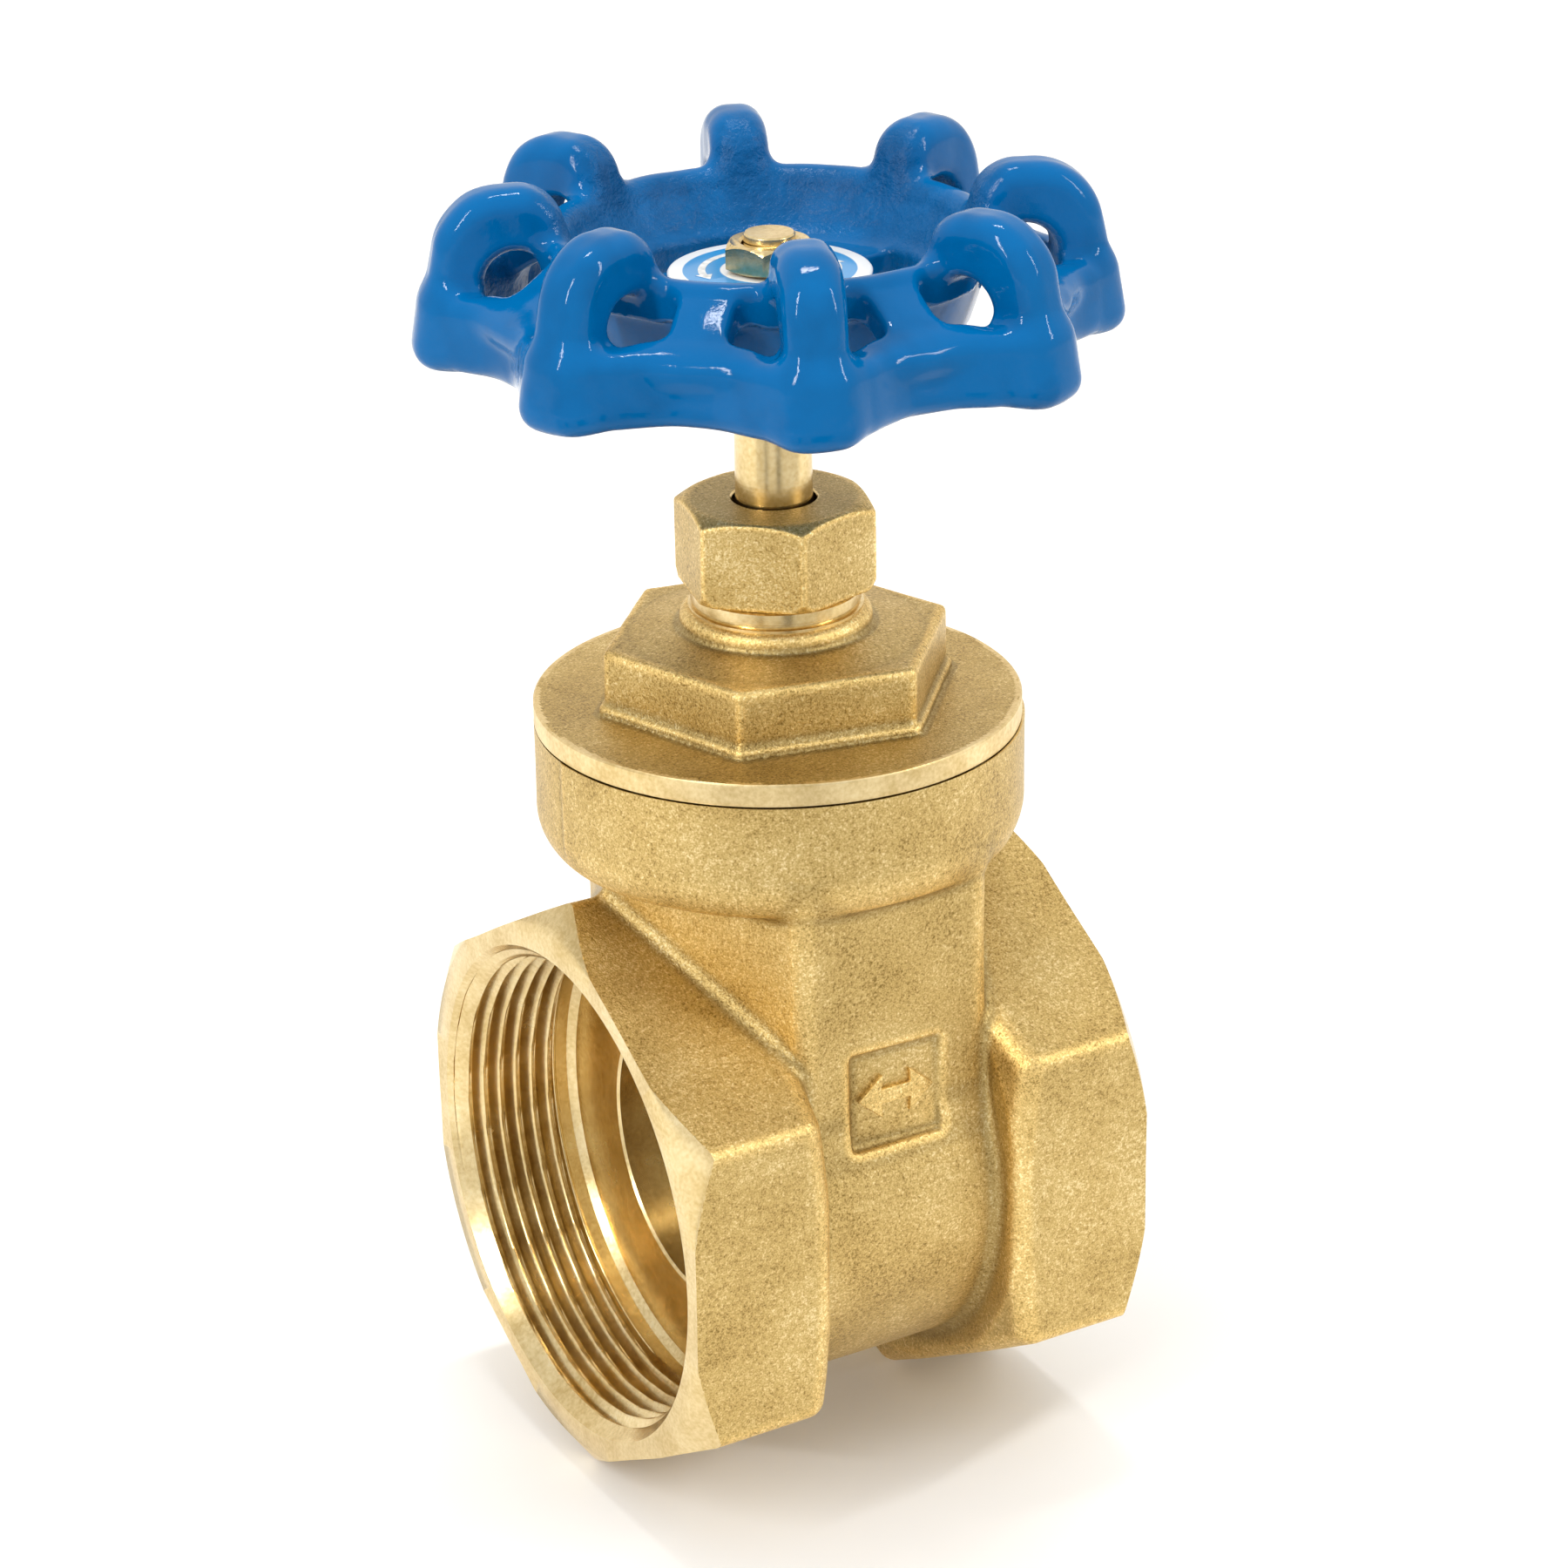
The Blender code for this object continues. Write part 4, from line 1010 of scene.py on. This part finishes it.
def build_gland_nut():
    turn, radius = widest_corner("gland_nut")
    low, high = NUT_LOW.z, NUT_HIGH.z
    field = nut_field(radius, turn, low, high, NUT_FOOT_CHAMFER, NUT_HEAD_CHAMFER)
    reach = radius + 0.8
    nut = field_mesh("gland_nut_cast", field, (-reach, -reach, low - 0.8), (reach, reach, high + 0.8),
                     NUT_CELL)
    head = high - NUT_HEAD_THICKNESS
    inside = [(0, low - 1), (NUT_BORE, low - 1), (NUT_BORE, head), (NUT_HOLE, head), (NUT_HOLE, high - 0.2),
              (NUT_HOLE + 0.24, high + 0.1), (NUT_HOLE + 0.24, high + 1), (0, high + 1)]
    combine(nut, turned("inside", inside, 128), "DIFFERENCE")
    add_polish_and_crease_shade(nut, field, 0.5)

    def rule(x, y, z, normal):
        about_z = np.hypot(x, y)
        inner = (about_z < NUT_BORE + 0.1) & (z < head + 0.1) | (about_z < NUT_HOLE + 0.19)
        return np.where(inner, TURNED, CAST)

    return finished(nut, "gland_fastener", ["gland_nut"], [CAST_BRASS, TURNED_Z], rule)


def build_wheel_nut():
    turn, radius = widest_corner("wheel_nut")
    low, high = WHEEL_NUT_LOW.z, WHEEL_NUT_HIGH.z
    flat = radius * SIN60
    nut = nut_shape("wheel_nut_turned", radius, turn, low, high, (flat, 0.3), (flat - 0.1, 0.6), 0.09)
    bore = [(0, low - 1), (WHEEL_NUT_BORE, low - 1), (WHEEL_NUT_BORE, high - 0.3),
            (WHEEL_NUT_BORE + 0.32, high + 0.02), (WHEEL_NUT_BORE + 0.32, high + 1), (0, high + 1)]
    combine(nut, turned("bore", bore, 96), "DIFFERENCE")
    return finished(nut, "spindle", ["wheel_nut"], [TURNED_Z])


def build_stem():
    """The stem: left-hand gate thread, collar, plain shank, square drive and a short thread at the tip."""
    low, high = STEM_LOW.z, STEM_HIGH.z
    shank = [(0, GATE_THREAD_TOP - 0.4), (STEM_RADIUS, GATE_THREAD_TOP - 0.4),
             (STEM_RADIUS, STEM_COLLAR_FOOT), (STEM_COLLAR_RADIUS, STEM_COLLAR_FOOT),
             (STEM_COLLAR_RADIUS, STEM_COLLAR_TOP), (STEM_RADIUS, STEM_COLLAR_TOP),
             (STEM_RADIUS, DRIVE_FOOT - 0.3), (STEM_RADIUS - 0.3, DRIVE_FOOT), (0, DRIVE_FOOT)]
    stem = turned("stem_turned", shank, 128)
    drive = prism("drive", square(DRIVE_HALF), DRIVE_FOOT - 0.6, DRIVE_TOP)
    combine(stem, bevelled(drive, 0.2), "UNION")

    def gate_thread(turn, height):
        wave = np.clip(3 * thread_wave(height / GATE_THREAD_LEAD + turn), -1, 1)
        fade = np.clip((height - low) / 1.5, 0, 1) * np.clip((GATE_THREAD_TOP - 0.2 - height) / 0.6, 0, 1)
        return GATE_THREAD_RADIUS + 0.5 * wave * fade

    def tip_thread(turn, height):
        wave = thread_wave(height / TIP_THREAD_PITCH - turn)
        fade = np.clip((high - 0.9 - height) / 0.4, 0, 1)
        end = np.minimum(0, high - 0.2 - height) * 0.9
        return TIP_THREAD_RADIUS + 0.21 * wave * fade + 0.22 * (1 - fade) + end

    combine(stem, threaded("gate_thread", gate_thread, low, GATE_THREAD_TOP, 0.14, 96), "UNION")
    combine(stem, threaded("tip_thread", tip_thread, DRIVE_TOP - 0.4, high, 0.05, 96), "UNION")
    return finished(stem, "spindle", ["stem"], [TURNED_Z], sharp=42)


def arc_arrow(name, radius, start, end, low, high):
    """A flat curved arrow round the plate, its head at end."""
    steps = 20
    half, head, length = 0.42, 1.0, 2.0
    turns = [start + (end - start) * k / steps for k in range(steps + 1)]

    def at(r, t):
        return r * math.cos(t), r * math.sin(t)

    outer = [at(radius + half, t) for t in turns]
    inner = [at(radius - half, t) for t in reversed(turns)]
    tip_turn = end + math.copysign(length / radius, end - start)
    tip = [at(radius + head, end), at(radius, tip_turn), at(radius - head, end)]
    return prism(name, outer + tip + inner, low, high)


def build_plate():
    """The plate has a rolled edge and two arrows for the ways to turn the wheel."""
    low, high = PLATE_LOW.z, PLATE_HIGH.z
    wide = PLATE_HIGH.x
    outline = [(PLATE_HOLE, low), (wide - 0.15, low), (wide, low + 0.15), (wide, high - 0.2),
               (wide - 0.12, high - 0.05), (wide - 0.3, high), (PLATE_HOLE, high)]
    plate = turned("wheel_plate_printed", outline, 180)
    for start, end in ((math.radians(75), math.radians(165)), (math.radians(255), math.radians(345))):
        combine(plate, arc_arrow("mark", MARK_RADIUS, start, end, high - 0.1, high + 0.04), "UNION")

    def rule(x, y, z, normal):
        # Only the marks, in the white print, stand above the plate.
        return np.where(z > high + 0.01, 1, 0)

    return finished(plate, "spindle", ["wheel_plate"], [PLATE, WHITE_PRINT], rule)


# ------------------------------------------------------------------ handwheel


def wheel_field(x, y, z):
    """The cast handwheel: hub and dish, wavy band, pierced sloping web and eight finger loops."""
    radius = np.hypot(x, y)
    turn = np.arctan2(y, x)
    part = math.tau / LOBES
    a = np.mod(turn - LOBE_TURN + part / 2, part) - part / 2
    q, t = radius * np.cos(a), np.abs(radius * np.sin(a))
    valley_t = radius * np.sin(part / 2 - np.abs(a))
    # Dish: a thick wall whose inside is a bowl, with a floor and a hollow underside.
    outside = radius - SKIRT_RADIUS - SKIRT_SLOPE * (z - SKIRT_FOOT)
    dish = rounded(1.4, outside, SKIRT_FOOT - z, z - RING_TOP)
    bowl = rounded(1.8, radius - FLOOR_RADIUS - BOWL_SLOPE * (z - FLOOR_TOP), FLOOR_TOP - z)
    under = rounded(1.2, radius - FLOOR_RADIUS - 1.0, z - FLOOR_FOOT)
    dish = cut(cut(dish, bowl, 1.25), under, 0.9)
    sector = math.tau / FLOOR_OPENINGS
    spin = np.mod(turn - FLOOR_OPENING_TURN + sector / 2, sector) - sector / 2
    opening = rounded(1.4, radius - FLOOR_RADIUS + 0.3, HUB_RADIUS + 0.6 - radius,
                      (np.abs(spin) - FLOOR_OPENING_HALF) * radius)
    dish = cut(dish, opening, 0.6)
    hub = rounded(0.5, radius - HUB_RADIUS, z - HUB_TOP, FLOOR_FOOT - z)
    hub = fillet(hub, rounded(0.6, radius - HUB_NECK_RADIUS, z - HUB_TOP, HUB_FOOT - z), 1.2)
    dish = fillet(dish, hub, 0.5)
    # Band and web
    wave = ((1 + np.cos(LOBES * a)) / 2) ** WAVE_POWER
    outer = VALLEY_RADIUS + (LOBE_RADIUS - VALLEY_RADIUS) * wave
    steep = 1 / np.sqrt(1 + (WAVE_SLOPE * np.sin(LOBES * a)) ** 2)
    inset = (radius - outer) * steep
    band = capsule(inset + BAND_HALF, z, (0.0, BAND_FOOT + 2.25), (-0.4, WEB_FOOT - 0.2), BAND_HALF)
    web = capsule(radius, z, (RING_RADIUS, WEB_HEAD), (VALLEY_RADIUS - 1.0, WEB_FOOT), WEB_HALF)
    window_outer = WINDOW_OUTER + 0.5 * (outer - VALLEY_RADIUS) * wave
    window = rounded(1.6, WINDOW_INNER - radius, radius - window_outer, BAR_HALF - valley_t)
    web = cut(web, window, 0.9)
    # Loops, whose outer faces lean in
    lean = LOOP_FACE_OUT * (q - LOBE_RADIUS) + LOOP_FACE_UP * (z - LOOP_FACE_Z)
    top = z - LOBE_TOP
    loop = rounded(5.5, blunt(top, lean, 8.0, LOOP_FACE_UP), LOOP_INNER - q)
    sides = t - LOOP_HALF - LOOP_FLARE * np.maximum(LOOP_FLARE_TOP - z, 0)
    loop = rounded(2.7, loop, sides)
    loop = rounded(2.2, loop, BAND_FOOT - z)
    from_hole = np.abs(q - LOOP_HOLE_R)
    hole = np.where(z > LOOP_HOLE_Z, np.hypot(from_hole, z - LOOP_HOLE_Z), from_hole) - LOOP_HOLE_HALF
    loop = cut(loop, hole, 1.5)
    # No part of a loop goes down inside the window, or under the web.
    loop = np.maximum(loop, np.minimum(LOOP_GAP_R - q, LOOP_GAP_TOP - z))
    shape = fillet(fillet(dish, web, 0.8), band, 1.2)
    shape = fillet(shape, loop, 2.0)
    return shape + wobble(x, y, z, 7.5, 0.09)


def build_wheel():
    reach = LOBE_RADIUS + 1.5
    wheel = field_mesh("handwheel_enamelled", wheel_field, (-reach, -reach, BAND_FOOT - 1),
                       (reach, reach, LOBE_TOP + 1), WHEEL_CELL)
    hole = prism("square_hole", square(SQUARE_HOLE_HALF), BAND_FOOT - 2, HUB_TOP + 2)
    combine(wheel, hole, "DIFFERENCE")
    return finished(wheel, "spindle", ["handwheel"], [ENAMEL])


# ----------------------------------------------------------------- small parts


def finish_cad_nodes():
    """Materials for the nodes whose CAD shape stays."""
    looks = {"bonnet_gasket": FIBRE, "packing_ring_lower": GRAPHITE, "packing_ring_middle": GRAPHITE,
             "packing_ring_upper": GRAPHITE, "gate_wedge": SHADED_WEDGE_BRASS}
    for name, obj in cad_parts.items():
        obj.data.materials.clear()
        obj.data.materials.append(looks.get(name, TURNED_Z))


# ---------------------------------------------------------------------- studio


def build_camera():
    """The camera stands in front, to the left and above, and looks slightly past the pipe's axis."""
    azimuth, elevation, roll = CAMERA_AZIMUTH, CAMERA_ELEVATION, CAMERA_ROLL
    back = Vector((math.sin(azimuth) * math.cos(elevation), -math.cos(azimuth) * math.cos(elevation),
                   math.sin(elevation)))
    right = Vector((math.cos(azimuth), math.sin(azimuth), 0))
    up = back.cross(right)
    place = back * CAMERA_DISTANCE + right * CAMERA_RIGHT + up * CAMERA_UP
    across = right * math.cos(roll) + up * math.sin(roll)
    upward = up * math.cos(roll) - right * math.sin(roll)
    camera = bpy.data.objects.new("camera", bpy.data.cameras.new("camera"))
    bpy.context.scene.collection.objects.link(camera)
    camera.data.lens = CAMERA_LENS
    camera.data.sensor_width = 36
    camera.data.clip_start = 0.01
    turn = Matrix((across, upward, back)).transposed().to_4x4()
    camera.matrix_world = Matrix.Translation(place) @ turn
    bpy.context.scene.camera = camera


def softbox(name, place, aim, width, height, power):
    data = bpy.data.lights.new(name, "AREA")
    data.shape = "RECTANGLE"
    data.size = width
    data.size_y = height
    data.energy = power
    lamp = bpy.data.objects.new(name, data)
    lamp.location = place
    lamp.rotation_mode = "QUATERNION"
    lamp.rotation_quaternion = (Vector(aim) - Vector(place)).to_track_quat("-Z", "Y")
    bpy.context.scene.collection.objects.link(lamp)


def flag(name, corners, level, colour):
    """A flat card on the floor, given by (distance, angle in degrees) round the stem's axis."""
    mesh = bpy.data.meshes.new(name)
    turns = [(far, math.radians(angle)) for far, angle in corners]
    mesh.from_pydata([(far * math.cos(t), far * math.sin(t), level) for far, t in turns], [],
                     [tuple(range(len(corners)))])
    card = bpy.data.objects.new(name, mesh)
    bpy.context.scene.collection.objects.link(card)
    mesh.materials.append(Nodes(name).set(Base_Color=colour, Roughness=0.9))
    card.visible_camera = False
    card.visible_shadow = False


def build_studio():
    floor_mesh = bpy.data.meshes.new("floor")
    level = cad_box[0].z - FLOOR_GAP
    floor_mesh.from_pydata([(x, y, level) for x, y in square(FLOOR_SIZE)], [], [(0, 1, 2, 3)])
    floor = bpy.data.objects.new("floor", floor_mesh)
    bpy.context.scene.collection.objects.link(floor)
    n = Nodes("pale_floor")
    floor_mesh.materials.append(n.set(Base_Color=(0.90, 0.90, 0.90, 1.0), Roughness=0.7))

    # Unseen on the floor lie a grey apron, which the upright faces reflect, and two dark strips, which
    # give the round metal its streaks.
    fan = (-172, -140, -105, -70, -40)
    apron = [(0.15, angle) for angle in fan] + [(1.2, angle) for angle in reversed(fan)]
    flag("grey_apron", apron, level + 0.0005, (0.56, 0.56, 0.56, 1.0))
    for turn, half in ((-105, 6), (-141, 4)):
        strip = [(0.19, turn - half), (0.19, turn + half), (0.5, turn + half), (0.5, turn - half)]
        flag("dark_strip", strip, level + 0.001, (0.03, 0.03, 0.03, 1.0))

    # The sky is a light tent, brighter and warmer behind the valve, where its upper faces reflect it.
    world = bpy.data.worlds.new("studio")
    bpy.context.scene.world = world
    world.use_nodes = True
    tree = world.node_tree
    coords = tree.nodes.new("ShaderNodeTexCoord")
    lean = tree.nodes.new("ShaderNodeVectorMath")
    lean.operation = "DOT_PRODUCT"
    lean.inputs[1].default_value = (0.46, 0.79, 0.40)
    ramp = tree.nodes.new("ShaderNodeValToRGB")
    tree.links.new(coords.outputs["Generated"], lean.inputs[0])
    tree.links.new(lean.outputs["Value"], ramp.inputs["Fac"])
    ramp.color_ramp.elements[0].position = 0.25
    ramp.color_ramp.elements[0].color = (0.77, 0.77, 0.77, 1)
    ramp.color_ramp.elements[1].position = 0.90
    ramp.color_ramp.elements[1].color = (1.0, 0.94, 0.84, 1)
    tree.links.new(ramp.outputs["Color"], tree.nodes["Background"].inputs["Color"])
    tree.nodes["Background"].inputs["Strength"].default_value = 1.06

    middle = (0, 0, 0.05)
    softbox("left_softbox", (-1.75, -0.55, 1.25), middle, 0.15, 1.3, 24)
    softbox("right_softbox", (1.25, -1.35, 1.15), middle, 0.12, 1.2, 13)
    softbox("top_softbox", (0.05, 0.25, 2.2), middle, 0.7, 0.14, 14)
    bpy.context.scene.view_settings.view_transform = "Standard"


finish_cad_nodes()
build_body()
build_bonnet()
build_gland_nut()
build_stem()
build_wheel()
build_plate()
build_wheel_nut()
build_camera()
build_studio()
